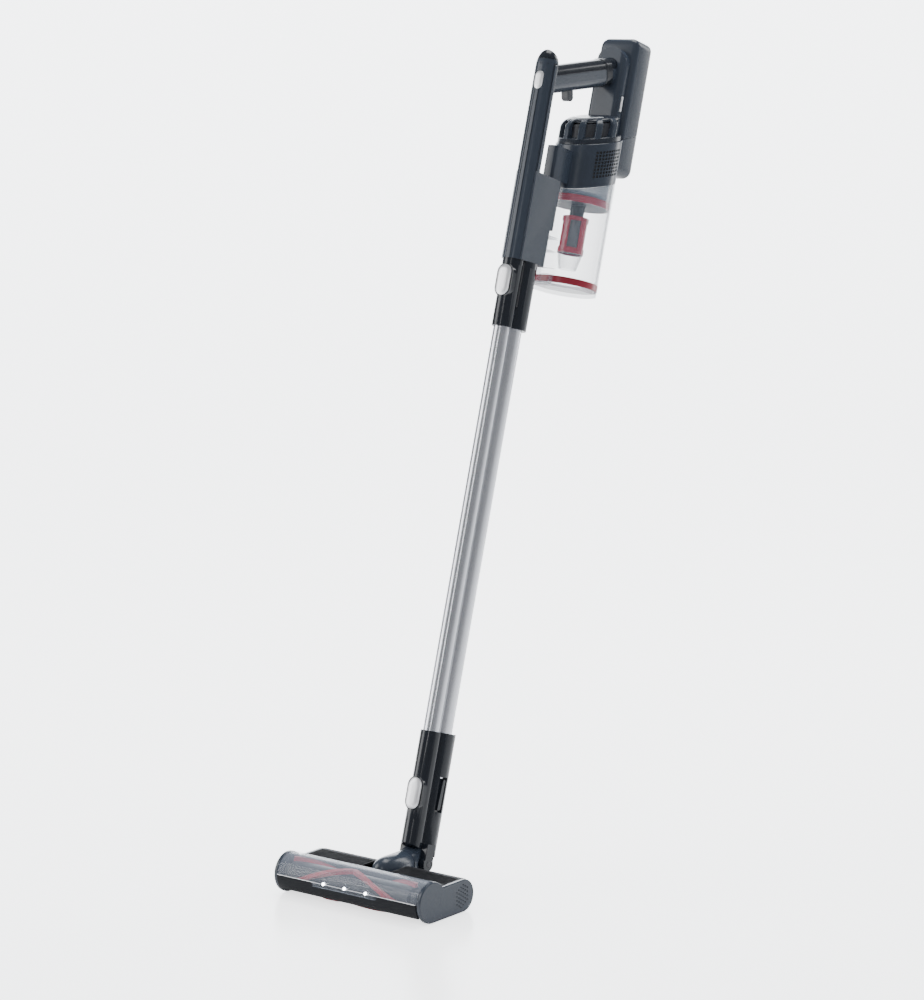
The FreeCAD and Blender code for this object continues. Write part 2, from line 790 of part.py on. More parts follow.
def make_spine_front():
    ring = cut(spine_prism(0, spine_low, spine_high), spine_prism(wall, spine_low - 1, spine_high + 1))
    rear_half = block(stick, (-30, -spine_seam, spine_low - 2), (30, 30, spine_high + 2))
    window = padded(stick, "XZ", [stadium(7.4, 1038.5, 1064.5)], 24, 12)
    return cut(ring, rear_half, window)


def make_spine_rear():
    ring = cut(spine_prism(0, duct_high, spine_high), spine_prism(wall, duct_high - 1, spine_high + 1))
    front_half = block(stick, (-30, -60, duct_high - 2), (30, -spine_seam, spine_high + 2))
    return cut(ring, front_half)


def make_spine_cap():
    # The domed top end: the spine's section, rounded over from the front and from the side.
    rise = as_size(13.5)
    section = spine_prism(0, spine_high, spine_high + rise)
    front_view = padded(stick, "XZ",
                        [rectangle(-spine_half, spine_high - 20, spine_half, spine_high + rise, 15.6)], 0, 60)
    low = spine_high - 20
    high = spine_high + rise
    side_view = padded(stick, "YZ", [outline((-spine_front, low), (-spine_back, low),
                                             (-spine_back, high, 8.6), (-spine_front, high, 11))], -30, 60)
    return common(section, front_view, side_view)


keep(make_spine_front(), "spine_front_shell")
keep(make_spine_rear(), "spine_rear_strip")
keep(make_spine_cap(), "spine_top_cap")
keep(padded(stick, "XZ", [stadium(7.1, 1038.8, 1064.2)], 26.8, 2.8), "mode_button")


def make_duct_housing():
    # The flat-sided body behind the spine: the air duct up to the dust cup's inlet and the cover above it.
    body = padded(stick, "XY", [outline((-duct_half, -spine_seam), (duct_half, -spine_seam),
                                        (duct_half, duct_rear, 6), (-duct_half, duct_rear, 6))],
                  spine_low, duct_high - spine_low)
    recess = block(stick, (-40, duct_recess, spine_low - 1), (40, 80, duct_step))
    air_way = block(stick, (-13, -7, spine_low - 1), (13, duct_recess - 2.6, 851))
    port_way = block(stick, (-8.4, duct_recess - 4, 831.6), (8.4, duct_recess + 1, 848.4))
    upper_room = block(stick, (-14.6, -17, 853.4), (14.6, duct_rear - 2.6, duct_high - 2.4))
    wire_room = block(stick, (-10, -spine_seam - 1, 806), (10, -9.4, 920))
    return cut(body, recess, air_way, port_way, upper_room, wire_room)


keep(make_duct_housing(), "duct_housing")
lever = padded(stick, "YZ", [outline((duct_recess + 0.3, 807), (duct_recess + 5, 808, 2),
                                     (duct_recess + 6, 823, 2), (duct_recess + 0.3, 825))], -10, 20)
keep(lever, "cup_release_lever")

# ---------------------------------------------------------------- handheld: handle
handle = stick.shifted(0, 0, handle_low).turned(deck_slope)
handle_split = as_size(5)


def handle_bar(inset, front, rear):
    half = handle_half - inset
    tall = handle_tall / 2 - inset
    return padded(handle, "XZ", [rectangle(-half, -tall, half, tall, 13.6 - inset)], -as_size(rear),
                  as_size(rear) - front)


def handle_half_shell(side):
    shell = cut(handle_bar(0, -14, 160), handle_bar(as_size(2.4), 0, 132))
    spine_room = block(stick, (-30, -60, 900), (30, -spine_back, 1300))
    dock_room = block(stick, (-60, dock_front, 900), (60, 300, 1300))
    if side > 0:
        other = block(handle, (-40, -60, -60), (40, 200, handle_split))
    else:
        other = block(handle, (-40, -60, handle_split), (40, 200, 60))
    return cut(shell, spine_room, dock_room, other)


keep(handle_half_shell(1), "handle_top_shell")
trigger_slot = block(handle, (-6.6, 29.4, -30), (6.6, 42.8, -10))
keep(cut(handle_half_shell(-1), trigger_slot), "handle_lower_shell")
trigger_blade = padded(handle, "YZ", [outline((29.9, -33.2, 6), (42.3, -33.2, 6), (42.3, -9), (29.9, -9))],
                       -6.1, 12.2)
trigger_flange = block(handle, (-8.5, 28, -11.5), (8.5, 44.2, -9))
keep(fuse(trigger_blade, trigger_flange), "trigger")


def above_deck(height):
    return block(deck(height), (-200, -300, 0), (200, 300, 400))


def below_deck(height):
    return block(deck(height), (-200, -300, -400), (200, 300, 0))


def make_dock():
    # The arched post that carries the handle's rear end and guides the battery.
    plan = padded(stick, "XY", [outline((-dock_half, dock_front, 9), (dock_half, dock_front, 9),
                                        (dock_half, battery_front - fit_gap),
                                        (-dock_half, battery_front - fit_gap))], 980, 200)
    arch = padded(stick, "XZ", [rectangle(-dock_half, 960, dock_half, dock_high, dock_half * 0.99)],
                  -battery_front - 5, 40)
    room = block(stick, (-15, dock_front + 3, 1020), (15, battery_front + 5, 1100))
    right_way = block(stick, (21, dock_front + 6.6, 1048.6), (40, battery_front - 2.6, 1071.4))
    return cut(common(plan, arch), below_deck(deck_high), room, right_way)


keep(make_dock(), "battery_dock")
keep(block(stick, (22.9, dock_front + 7, 1049), (26.9, battery_front - 3, 1071)), "battery_release_button")


# ---------------------------------------------------------------- handheld: battery
def slab(inset, low, high, corner=12):
    # The flat rounded slab that the battery and its cradle share.
    inset = as_size(inset)
    half = battery_half - inset
    plan = padded(stick, "XY", [rectangle(-half, battery_front + inset, half, battery_rear - inset,
                                          battery_round - inset)], low, as_size(high) - low)
    face = padded(stick, "XZ", [rectangle(-half, battery_low + inset, half, battery_high - inset, corner)],
                  -battery_rear - 5, 60)
    return common(plan, face)


def make_battery_case():
    shell = cut(slab(0, 900, 1200), slab(2.2, 900, 1200, 6.5), below_deck(deck_high + 0.4))
    floor_plate = common(slab(1, 900, 1200), cut(below_deck(deck_high + 2.4), below_deck(deck_high + 0.4)))
    return fuse(shell, floor_plate)


def make_cells():
    # Six round cells in two layers, with the pack's circuit board behind them.
    cells = [block(stick, (-24, 169.9, 1025), (24, 171.5, 1146))]
    for column in (-1, 0, 1):
        for row in (0, 1):
            spot = stick.shifted(column * 18.2, 161, 0)
            cells.append(post(spot, 9, 1023.4 + row * 65.3, 1088.4 + row * 65.3))
    return fuse(*cells)


keep(make_battery_case(), "battery_case")
keep(make_cells(), "battery_cells")


jack = stick.shifted(0, 0, 978)
jack_radius = given("jack_radius", 3)


def make_cradle():
    # The battery's foot: a shell under the seam, with a round charging socket in its rear wall.
    shell = cut(slab(0, 900, 1200), above_deck(deck_high))
    room = common(slab(wall, 900, 1200, 8), below_deck(deck_high - 3))
    return cut(shell, room, rod(jack, jack_radius, 160, 200))


keep(make_cradle(), "battery_cradle")
keep(cut(rod(jack, 6, 168, battery_rear - wall), rod(jack, jack_radius, 160, 190)), "charge_socket")


# ---------------------------------------------------------------- handheld: motor housing
cup = stick.shifted(0, cup_back, 0)
motor = deck(deck_low)


def flat_back(gap=0.0):
    # Everything behind the battery's front face.
    return block(stick, (-100, battery_front - gap, 800), (100, 400, 1300))


def make_motor_housing():
    outer = cut(post(cup, cup_radius, 890, 1050), flat_back(0.1))
    tab = block(stick, (-9, 28, duct_high), (9, 70, 1000))
    solid = cut(fuse(outer, tab), above_deck(deck_high), below_deck(deck_low))
    inner = cut(post(cup, cup_radius - 2.6, 880, 1060), flat_back(3))
    lower_room = common(inner, below_deck(deck_low + 5))
    upper_room = common(inner, above_deck(deck_low + 8))
    eye = post(motor, 20, -5, 20)
    lower_tab = block(stick, (-9, 28, duct_high - 5), (9, duct_rear, duct_high))
    return cut(solid, lower_room, upper_room, eye, lower_tab)


keep(make_motor_housing(), "motor_housing")
gasket = cut(post(motor, 27, 9, 15), post(motor, 23, 8, 16))
motor_can = cut(fuse(post(motor, 24, 12, 50), gasket), post(motor, 22.2, 13.8, 48), post(motor, 9, 5, 20),
                post(motor, 2.02, 10, 60))
keep(motor_can, "suction_motor")
rotor = fuse(post(motor, 2, 12.6, 49), post(motor, 20, 15, 21), post(motor, 11, 24, 42))
keep(rotor, "fan_rotor")
keep(cut(post(motor, 22, 51, 52.6), flat_back(4)), "control_board")


# ---------------------------------------------------------------- handheld: exhaust cap
exhaust = deck(deck_high)


def cap_solid(inset, low):
    inset = as_size(inset)
    barrel = post(cup, as_size(44.6) - inset, 930, 1120)
    dome = turned(exhaust, outline((0, low), (as_size(47) - inset, low),
                                   (as_size(47) - inset, cap_rise - inset, 15), (0, cap_rise - inset)))
    front = block(stick, (-100, dock_front - 0.4 - inset, 800), (100, 300, 1300))
    return cut(common(barrel, dome), front)


def make_exhaust_cap():
    shell = cut(cap_solid(0, 0.3), cap_solid(2.4, -10))
    base = cut(post(exhaust, 33, 0.3, 2.3), post(exhaust, 27, -1, 4), flat_back(15))
    windows = []
    for step in range(8):
        angle = math.radians(-70 + step * 20)
        spot = exhaust.shifted(38 * math.sin(angle), -38 * math.cos(angle), 0)
        windows.append(post(spot, 5, 7, 26))
    return cut(fuse(shell, base), *windows)


keep(make_exhaust_cap(), "exhaust_cap")
filter_ring = cut(post(exhaust, 29, 2.6, 24), post(exhaust, 19, 0, 30))
keep(cut(filter_ring, block(stick, (-100, dock_front - 4, 800), (100, 300, 1300))), "exhaust_filter")


# ---------------------------------------------------------------- handheld: dust cup
lid_hinge = stick.shifted(0, 63, 787)


def make_cup():
    outer = post(cup, cup_radius, cup_low, 990)
    inner = post(cup, cup_radius - cup_wall, cup_low - 1, 1000)
    port = block(stick, (-10.4, duct_recess + 0.3, 829.8), (10.4, 72, 850.2))
    port_way = block(stick, (-8.4, duct_recess - 1, 831.6), (8.4, 74, 848.4))
    bridge = block(stick, (-12, 60.6, cup_low), (12, 68, cup_low + 8))
    left_ear = block(stick, (-12, 60.4, 784.4), (-7.4, 65.2, cup_low + 1))
    right_ear = block(stick, (7.4, 60.4, 784.4), (12, 65.2, cup_low + 1))
    walls = cut(fuse(outer, port, bridge), inner)
    shell = cut(walls, port_way, above_deck(deck_low - 0.4))
    return cut(fuse(shell, left_ear, right_ear), bar(lid_hinge, 1.2, -20, 20))


keep(make_cup(), "clear_cup")
ring_profile = rectangle(cup_radius - cup_wall - 2.6, ring_low, cup_radius - cup_wall - 0.1, ring_high)
keep(turned(cup, ring_profile), "upper_red_ring")


def make_cyclone_head():
    plate = post(cup, cup_radius - cup_wall - 2.7, ring_low, ring_low + 2.4)
    neck = post(cup, 10, cage_high, ring_low + 1)
    return cut(fuse(plate, neck), post(cup, 8, cage_high - 1, ring_low + 4))


keep(make_cyclone_head(), "cyclone_head")


def make_cage():
    # A tube with four tall windows, turned so that two of them look to the front right and the rear left.
    tube = cut(post(cup, cage_radius, cage_low, cage_high),
               post(cup, cage_radius - 2, cage_low - 1, cage_high - 2),
               post(cup, 8, cage_high - 3, cage_high + 1))
    windows = []
    for angle in (-52, 38):
        along = (30 * math.cos(math.radians(angle)), 30 * math.sin(math.radians(angle)))
        aside = (-along[1] / 4, along[0] / 4)
        corners = [(along[0] + aside[0], along[1] + aside[1]), (aside[0] - along[0], aside[1] - along[1]),
                   (-along[0] - aside[0], -along[1] - aside[1]), (along[0] - aside[0], along[1] - aside[1])]
        windows.append(padded(cup, "XY", [outline(*corners)], cage_low + 8, 38))
    return cut(tube, *windows)


keep(make_cage(), "cyclone_cage")
screen = cut(post(cup, cage_radius - 2.05, cage_low + 3, cage_high - 2.1),
             post(cup, cage_radius - 2.6, cage_low, cage_high))
keep(screen, "mesh_screen")
cone = turned(cup, outline((17, cage_low - 0.1), (16.3, 832), (12.3, 816), (10.8, 816), (14.8, 832.4),
                           (15.5, cage_low - 0.1)))
keep(cone, "dust_cone")
keep(cut(post(cup, 38, ring_low + 6, ring_low + 16.5), post(cup, 6, ring_low, ring_low + 12)), "foam_filter")


def make_lid():
    plate = post(cup, cup_radius, lid_low, seal_low)
    knuckle = bar(lid_hinge, 2.6, -7, 7)
    web = block(stick, (-7, 64, 785.4), (7, 68, 788.6))
    bore = bar(lid_hinge, 1.25, -10, 10)
    left_room = block(stick, (-12.4, 60, 780), (-7.05, 65.7, 792))
    right_room = block(stick, (7.05, 60, 780), (12.4, 65.7, 792))
    return cut(fuse(plate, knuckle, web), bore, left_room, right_room)


keep(make_lid(), "cup_lid")
keep(turned(cup, rectangle(cup_radius - 4, seal_low, cup_radius + 0.4, cup_low - 0.7)), "lid_seal")
keep(bar(lid_hinge, 1.2, -12, 12), "lid_hinge_pin")


# ---------------------------------------------------------------- check and write
doc.recompute()
problems = []
for item in doc.Objects:
    if "Invalid" in item.State or "Error" in item.State:
        problems.append("%s is %s" % (item.Name, item.State))
for item in pieces:
    if item.Shape.isNull() or not item.Shape.isValid() or item.Shape.Volume < 1:
        problems.append("%s has no valid solid" % item.Label)
if problems:
    raise RuntimeError("; ".join(problems))

os.makedirs("parts", exist_ok=True)
for item in pieces:
    item.Shape.exportStep(os.path.join("parts", item.Label + ".step"))
    box = item.Shape.BoundBox
    print("%-24s %8.0f mm3  X %7.1f to %7.1f  Y %7.1f to %7.1f  Z %7.1f to %7.1f" % (
        item.Label, item.Shape.Volume, box.XMin, box.XMax, box.YMin, box.YMax, box.ZMin, box.ZMax))
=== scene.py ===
import bpy
import bmesh
import json
import math
import random
from mathutils import Matrix, Vector


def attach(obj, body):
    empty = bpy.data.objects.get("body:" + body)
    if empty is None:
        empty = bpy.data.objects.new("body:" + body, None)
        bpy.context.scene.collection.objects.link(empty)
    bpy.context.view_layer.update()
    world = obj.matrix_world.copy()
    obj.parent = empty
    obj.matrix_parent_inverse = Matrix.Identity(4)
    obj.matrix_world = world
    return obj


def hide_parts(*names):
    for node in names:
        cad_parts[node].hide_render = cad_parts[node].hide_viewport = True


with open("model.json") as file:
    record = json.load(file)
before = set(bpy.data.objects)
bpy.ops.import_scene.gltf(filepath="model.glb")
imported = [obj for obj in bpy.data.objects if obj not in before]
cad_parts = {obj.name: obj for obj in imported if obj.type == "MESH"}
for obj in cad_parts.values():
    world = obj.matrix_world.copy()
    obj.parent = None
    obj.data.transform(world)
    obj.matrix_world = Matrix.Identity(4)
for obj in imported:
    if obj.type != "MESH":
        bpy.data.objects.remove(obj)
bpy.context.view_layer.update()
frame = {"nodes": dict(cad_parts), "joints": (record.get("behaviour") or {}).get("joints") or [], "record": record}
print("stage: frame loaded,", len(frame["nodes"]), "nodes")

# A cordless stick vacuum. Pieces are modelled in millimetres in the frame of the part they belong to:
# the stick's (x across, y to the rear, z up the stick), the sloping deck's, or the floor head's.
toMetres = Matrix.Scale(0.001, 4)
joints = {joint["name"]: joint for joint in frame["joints"]}
stickUp = Vector(joints["battery_slide"]["axis"])
stickBack = Vector(joints["cup_slide"]["axis"])
deckUp = Vector(joints["cap_lift"]["axis"])


def axes(origin, back, up):
    across = back.cross(up).normalized()
    turn = Matrix((across, back.normalized(), up.normalized())).transposed().to_4x4()
    return Matrix.Translation(origin) @ turn @ toMetres


hinge = Vector(joints["stick_tilt"]["pos_m"])
stick = axes(hinge + stickUp * 0.0265, stickBack, stickUp)
deckBack = deckUp.cross(Vector((1, 0, 0)))
cupAxis = stick @ Matrix.Translation((0, 112, 0))
handle = axes(stick @ Vector((0, 0, 1059)), deckBack, deckUp)
brush = Matrix.Translation(Vector(joints["brush_spin"]["pos_m"])) @ toMetres
head = Matrix.Translation((0, joints["brush_spin"]["pos_m"][1], 0)) @ toMetres
deckTan = math.tan(stickUp.angle(deckUp))


def sheared(height):
    # The cup's upright frame with its level planes tilted to the deck's slope.
    slope = Matrix.Identity(4)
    slope[2][1] = deckTan
    return cupAxis @ Matrix.Translation((0, 0, height)) @ slope


# Materials: all procedural, on object coordinates.
def newMaterial(name):
    material = bpy.data.materials.new(name)
    material.use_nodes = True
    nodes = material.node_tree.nodes
    links = material.node_tree.links
    shader = nodes["Principled BSDF"]
    coords = nodes.new("ShaderNodeTexCoord")
    return material, nodes, links, shader, coords


def noiseAt(nodes, links, coords, scale, detail=3.0, stretch=None):
    noiseNode = nodes.new("ShaderNodeTexNoise")
    noiseNode.inputs["Scale"].default_value = scale
    noiseNode.inputs["Detail"].default_value = detail
    source = coords.outputs["Object"]
    if stretch:
        mapping = nodes.new("ShaderNodeMapping")
        mapping.inputs["Rotation"].default_value = stretch[0]
        mapping.inputs["Scale"].default_value = stretch[1]
        links.new(source, mapping.inputs["Vector"])
        source = mapping.outputs["Vector"]
    links.new(source, noiseNode.inputs["Vector"])
    return noiseNode


def ramp(nodes, links, source, stops):
    rampNode = nodes.new("ShaderNodeValToRGB")
    rampNode.color_ramp.elements[0].position = stops[0][0]
    rampNode.color_ramp.elements[0].color = stops[0][1]
    rampNode.color_ramp.elements[1].position = stops[-1][0]
    rampNode.color_ramp.elements[1].color = stops[-1][1]
    for place, colour in stops[1:-1]:
        rampNode.color_ramp.elements.new(place).color = colour
    links.new(source, rampNode.inputs["Fac"])
    return rampNode


def shade(colour, factor):
    return tuple(min(1.0, channel * factor) for channel in colour[:3]) + (1.0,)


def grey(level):
    return (level, level, level, 1.0)


def bumpFrom(nodes, links, shader, source, strength, distance):
    bump = nodes.new("ShaderNodeBump")
    bump.inputs["Strength"].default_value = strength
    bump.inputs["Distance"].default_value = distance
    links.new(source, bump.inputs["Height"])
    links.new(bump.outputs["Normal"], shader.inputs["Normal"])


def painted(nodes, links, shader, source, colour, stops):
    # Shades of one colour, by (place, factor) stops along a pattern.
    tint = ramp(nodes, links, source, [(place, shade(colour, factor)) for place, factor in stops])
    links.new(tint.outputs["Color"], shader.inputs["Base Color"])
    return tint.outputs["Color"]


def glossed(nodes, links, shader, source, stops):
    # Roughness by (place, level) stops along a pattern.
    gloss = ramp(nodes, links, source, [(place, grey(level)) for place, level in stops])
    links.new(gloss.outputs["Color"], shader.inputs["Roughness"])


driftStops = ((0.3, 0.96), (0.7, 1.04))
mouldedLook = {"drift": 22.0, "smear": 60.0, "spread": 0.008, "specular": 0.42, "metalSpecular": 0.5,
               "coatRough": 0.05, "grainDeep": 0.0002}


def moulded(name, colour, rough, grain=0.05, coat=0.0, metal=0.0, stretch=None, grainScale=2600.0,
            specular=mouldedLook["specular"]):
    # Moulded or drawn finish: a slight drift of colour and gloss, and a fine grain.
    material, nodes, links, shader, coords = newMaterial(name)
    drift = noiseAt(nodes, links, coords, mouldedLook["drift"], 4.0, stretch)
    painted(nodes, links, shader, drift.outputs["Fac"], colour, driftStops)
    smear = noiseAt(nodes, links, coords, mouldedLook["smear"], 5.0, stretch)
    spread = mouldedLook["spread"]
    glossed(nodes, links, shader, smear.outputs["Fac"],
            [(0.3, max(0.02, rough - spread)), (0.7, rough + spread)])
    shader.inputs["Metallic"].default_value = metal
    shader.inputs["Specular IOR Level"].default_value = mouldedLook["metalSpecular"] if metal else specular
    shader.inputs["Coat Weight"].default_value = coat
    shader.inputs["Coat Roughness"].default_value = mouldedLook["coatRough"]
    fine = noiseAt(nodes, links, coords, grainScale, 2.0, stretch)
    bumpFrom(nodes, links, shader, fine.outputs["Fac"], grain, mouldedLook["grainDeep"])
    return material


clearLook = {"drift": 26.0, "facing": 0.42, "middle": 0.10, "rough": 0.06, "smear": 0.05, "coat": 0.6,
             "coatRough": 0.03}


def thinPlastic(name, colour, opacity, edge=0.75):
    # A clear moulding seen through with little bending: mostly see-through, denser at its edges.
    material, nodes, links, shader, coords = newMaterial(name)
    drift = noiseAt(nodes, links, coords, clearLook["drift"], 4.0)
    painted(nodes, links, shader, drift.outputs["Fac"], colour, driftStops)
    facing = nodes.new("ShaderNodeLayerWeight")
    facing.inputs["Blend"].default_value = clearLook["facing"]
    veil = ramp(nodes, links, facing.outputs["Facing"],
                [(0.0, grey(opacity)), (0.5, grey(opacity + clearLook["middle"])),
                 (0.97, grey(min(1.0, opacity + edge)))])
    links.new(veil.outputs["Color"], shader.inputs["Alpha"])
    rough = clearLook["rough"]
    glossed(nodes, links, shader, drift.outputs["Fac"], [(0.35, rough), (0.75, rough + clearLook["smear"])])
    shader.inputs["Coat Weight"].default_value = clearLook["coat"]
    shader.inputs["Coat Roughness"].default_value = clearLook["coatRough"]
    return material


tuftLook = {"scale": 900.0, "stops": ((0.3, 0.55), (0.55, 1.0), (0.8, 1.5)), "rough": 0.75, "sheen": 0.4,
            "bump": 0.8, "bumpDeep": 0.0006}


def tufted(name, colour):
    # Bristle and foam: fine strands, dark between and pale at their tips.
    material, nodes, links, shader, coords = newMaterial(name)
    strands = noiseAt(nodes, links, coords, tuftLook["scale"], 5.0)
    painted(nodes, links, shader, strands.outputs["Fac"], colour, tuftLook["stops"])
    shader.inputs["Roughness"].default_value = tuftLook["rough"]
    shader.inputs["Sheen Weight"].default_value = tuftLook["sheen"]
    bumpFrom(nodes, links, shader, strands.outputs["Fac"], tuftLook["bump"], tuftLook["bumpDeep"])
    return material


steelMeshLook = {"scale": 620.0, "randomness": 0.25, "metal": 0.55, "rough": 0.42, "bump": 0.9,
                 "bumpDeep": 0.0005}


def wovenSteel(name, colour):
    # Fine steel mesh: small dark openings, nearly evenly spaced.
    material, nodes, links, shader, coords = newMaterial(name)
    weave = nodes.new("ShaderNodeTexVoronoi")
    weave.inputs["Scale"].default_value = steelMeshLook["scale"]
    weave.inputs["Randomness"].default_value = steelMeshLook["randomness"]
    links.new(coords.outputs["Object"], weave.inputs["Vector"])
    tint = ramp(nodes, links, weave.outputs["Distance"],
                [(0.15, grey(0.05)), (0.35, shade(colour, 0.7)), (0.6, shade(colour, 1.35))])
    links.new(tint.outputs["Color"], shader.inputs["Base Color"])
    shader.inputs["Metallic"].default_value = steelMeshLook["metal"]
    shader.inputs["Roughness"].default_value = steelMeshLook["rough"]
    bumpFrom(nodes, links, shader, weave.outputs["Distance"], steelMeshLook["bump"], steelMeshLook["bumpDeep"])
    return material


lampLook = {"scale": 180.0, "stops": ((0.2, 0.9), (0.8, 1.0)), "rough": 0.3}


def lamp(name, colour, strength):
    material, nodes, links, shader, coords = newMaterial(name)
    spots = noiseAt(nodes, links, coords, lampLook["scale"], 2.0)
    glow = painted(nodes, links, shader, spots.outputs["Fac"], colour, lampLook["stops"])
    links.new(glow, shader.inputs["Emission Color"])
    shader.inputs["Emission Strength"].default_value = strength
    shader.inputs["Roughness"].default_value = lampLook["rough"]
    return material


# Patterns turned to the stick's lean and drawn out along it, for drawn and brushed metal.
drawnLong = ((0.284, 0, 0), (1, 1, 0.02))
brushedLong = ((0.284, 0, 0), (1, 1, 0.05))
finishes = {
    "slate_shell": moulded("slateShell", (0.0145, 0.019, 0.027), 0.25),
    "dark_shell": moulded("darkShell", (0.007, 0.009, 0.013), 0.26),
    "gloss_black": moulded("glossBlack", (0.004, 0.005, 0.007), 0.16),
    "silver_tube": moulded("silverTube", (0.60, 0.61, 0.65), 0.24, grain=0.04, metal=1.0, stretch=drawnLong,
                           grainScale=900.0),
    "silver_button": moulded("silverButton", (0.66, 0.665, 0.68), 0.32, grain=0.10, metal=0.9,
                             stretch=brushedLong, grainScale=1400.0),
    "clear_cup_plastic": thinPlastic("clearCupPlastic", (0.12, 0.14, 0.17), 0.10),
    "clear_window_plastic": thinPlastic("clearWindowPlastic", (0.20, 0.22, 0.26), 0.06, 0.40),
    "red_plastic": moulded("redPlastic", (0.24, 0.010, 0.026), 0.20, grain=0.04, coat=0.3),
    "red_seal_rubber": moulded("redSealRubber", (0.13, 0.004, 0.012), 0.28, coat=0.2),
    "pale_lid_plastic": moulded("paleLidPlastic", (0.30, 0.315, 0.33), 0.28, coat=0.3),
    "steel_mesh": wovenSteel("steelMesh", (0.10, 0.105, 0.115)),
    "red_bristles": tufted("redBristles", (0.30, 0.008, 0.022)),
    "black_plastic": moulded("blackPlastic", (0.016, 0.017, 0.021), 0.42),
    "black_rubber": moulded("blackRubber", (0.013, 0.013, 0.015), 0.6, grain=0.3),
    "lamp_white": lamp("lampWhite", (0.93, 0.97, 1.0), 14.0),
    "grey_foam": tufted("greyFoam", (0.10, 0.11, 0.13)),
    "steel_pin": moulded("steelPin", (0.55, 0.56, 0.58), 0.3, metal=1.0),
    "green_board": moulded("greenBoard", (0.02, 0.16, 0.07), 0.4),
    "cell_wrap": moulded("cellWrap", (0.05, 0.18, 0.42), 0.3),
}
# Three pieces have a finish of their own in place of their slot's.
smokyPlastic = thinPlastic("smokyPlastic", (0.07, 0.085, 0.11), 0.5, 0.45)
bumperFinish = moulded("bumperFinish", (0.004, 0.0045, 0.006), 0.32, specular=0.10)
coverFinish = moulded("ribbedCover", (0.006, 0.0065, 0.008), 0.55, grain=0.2, specular=0.12)

slotOf = {row["node"]: row["material_slot"] for row in frame["record"]["subparts"]}
bodyOf = {node: body for body, nodes in frame["record"]["behaviour"]["bodies"].items() for node in nodes}
for node, cadPiece in frame["nodes"].items():
    cadPiece.data.materials.clear()
    cadPiece.data.materials.append(finishes[slotOf[node]])
    for face in cadPiece.data.polygons:
        face.material_index = 0
print("stage: materials made,", len(finishes))


# Helpers that make, join, cut and place meshes.
def finish(bm, name, body, slotName, place, stands=(), smooth=40.0, bevel=None, extra=(), look=None):
    # Puts a mesh made in millimetres in its place and gives it its body, finish and soft edges.
    bm.transform(place)
    mesh = bpy.data.meshes.new(name)
    bm.to_mesh(mesh)
    bm.free()
    piece = bpy.data.objects.new(name, mesh)
    bpy.context.scene.collection.objects.link(piece)
    for material in [look or finishes[slotName], *extra]:
        mesh.materials.append(material)
    if bevel:
        edgeRound = piece.modifiers.new("edgeRound", "BEVEL")
        edgeRound.width = bevel * 0.001
        edgeRound.segments = 3
        edgeRound.limit_method = "ANGLE"
        edgeRound.angle_limit = math.radians(smooth)
        edgeRound.harden_normals = True
    mesh.shade_smooth()
    mesh.set_sharp_from_angle(angle=math.radians(smooth))
    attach(piece, body)
    if stands:
        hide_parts(*stands)
    return piece


def fromCad(node):
    # The CAD solid's mesh, merged, with its flat faces made whole again.
    bm = bmesh.new()
    bm.from_mesh(frame["nodes"][node].data)
    bmesh.ops.remove_doubles(bm, verts=bm.verts, dist=0.00001)
    bmesh.ops.dissolve_limit(bm, angle_limit=math.radians(0.6), verts=bm.verts, edges=bm.edges)
    return bm


def softened(node, width, slotName=None, look=None):
    # The CAD solid's own shape, with its sharp edges rounded over.
    return finish(fromCad(node), node + "_shell", bodyOf[node], slotName or slotOf[node], Matrix.Identity(4),
                  [node], 32.0, width, look=look)


def only(items, kind):
    return [item for item in items if isinstance(item, kind)]


def rectangle(half, low, high, lowCorner, highCorner):
    # The (x, y, rounding) corners of a rectangle about x = 0.
    return [(-half, low, lowCorner), (half, low, lowCorner),
            (half, high, highCorner), (-half, high, highCorner)]


def outlineFace(bm, corners, steps=8):
    # A flat face from (x, y, rounding) corners.
    points = [bm.verts.new((corner[0], corner[1], 0)) for corner in corners]
    bm.faces.new(points)
    for point, corner in zip(points, corners):
        if len(corner) > 2:
            bmesh.ops.bevel(bm, geom=[point], offset=corner[2], segments=steps, profile=0.5, affect="VERTICES",
                            material=-1)


def thickened(bm, vector):
    # Draws a flat mesh out into a closed solid.
    grown = bmesh.ops.extrude_face_region(bm, geom=bm.faces[:], use_keep_orig=True)["geom"]
    bmesh.ops.translate(bm, verts=only(grown, bmesh.types.BMVert), vec=vector)
    bmesh.ops.recalc_face_normals(bm, faces=bm.faces)


def slabMesh(corners, depth, steps=8):
    bm = bmesh.new()
    outlineFace(bm, corners, steps)
    thickened(bm, (0, 0, depth))
    return bm


def turnedMesh(profile, steps=96, angle=360.0):
    # A profile of (radius, height) spun round z.
    bm = bmesh.new()
    points = [bm.verts.new((radius, 0, height)) for radius, height in profile]
    edges = [bm.edges.new(pair) for pair in zip(points, points[1:])]
    bmesh.ops.spin(bm, geom=points + edges, cent=(0, 0, 0), axis=(0, 0, 1), angle=math.radians(angle),
                   steps=steps, use_merge=angle == 360.0)
    bmesh.ops.remove_doubles(bm, verts=bm.verts, dist=0.001)
    bmesh.ops.recalc_face_normals(bm, faces=bm.faces)
    return bm


def turned(bm, degrees, axis):
    bmesh.ops.rotate(bm, verts=bm.verts, cent=(0, 0, 0), matrix=Matrix.Rotation(math.radians(degrees), 3, axis))


def endsFilled(bm):
    # Closes the four-sided openings left at the ends of a swept section.
    bmesh.ops.holes_fill(bm, edges=[edge for edge in bm.edges if edge.is_boundary], sides=8)


def joined(target, source, place=Matrix.Identity(4)):
    source.transform(place)
    scratch = bpy.data.meshes.new("scratch")
    source.to_mesh(scratch)
    source.free()
    target.from_mesh(scratch)
    bpy.data.meshes.remove(scratch)


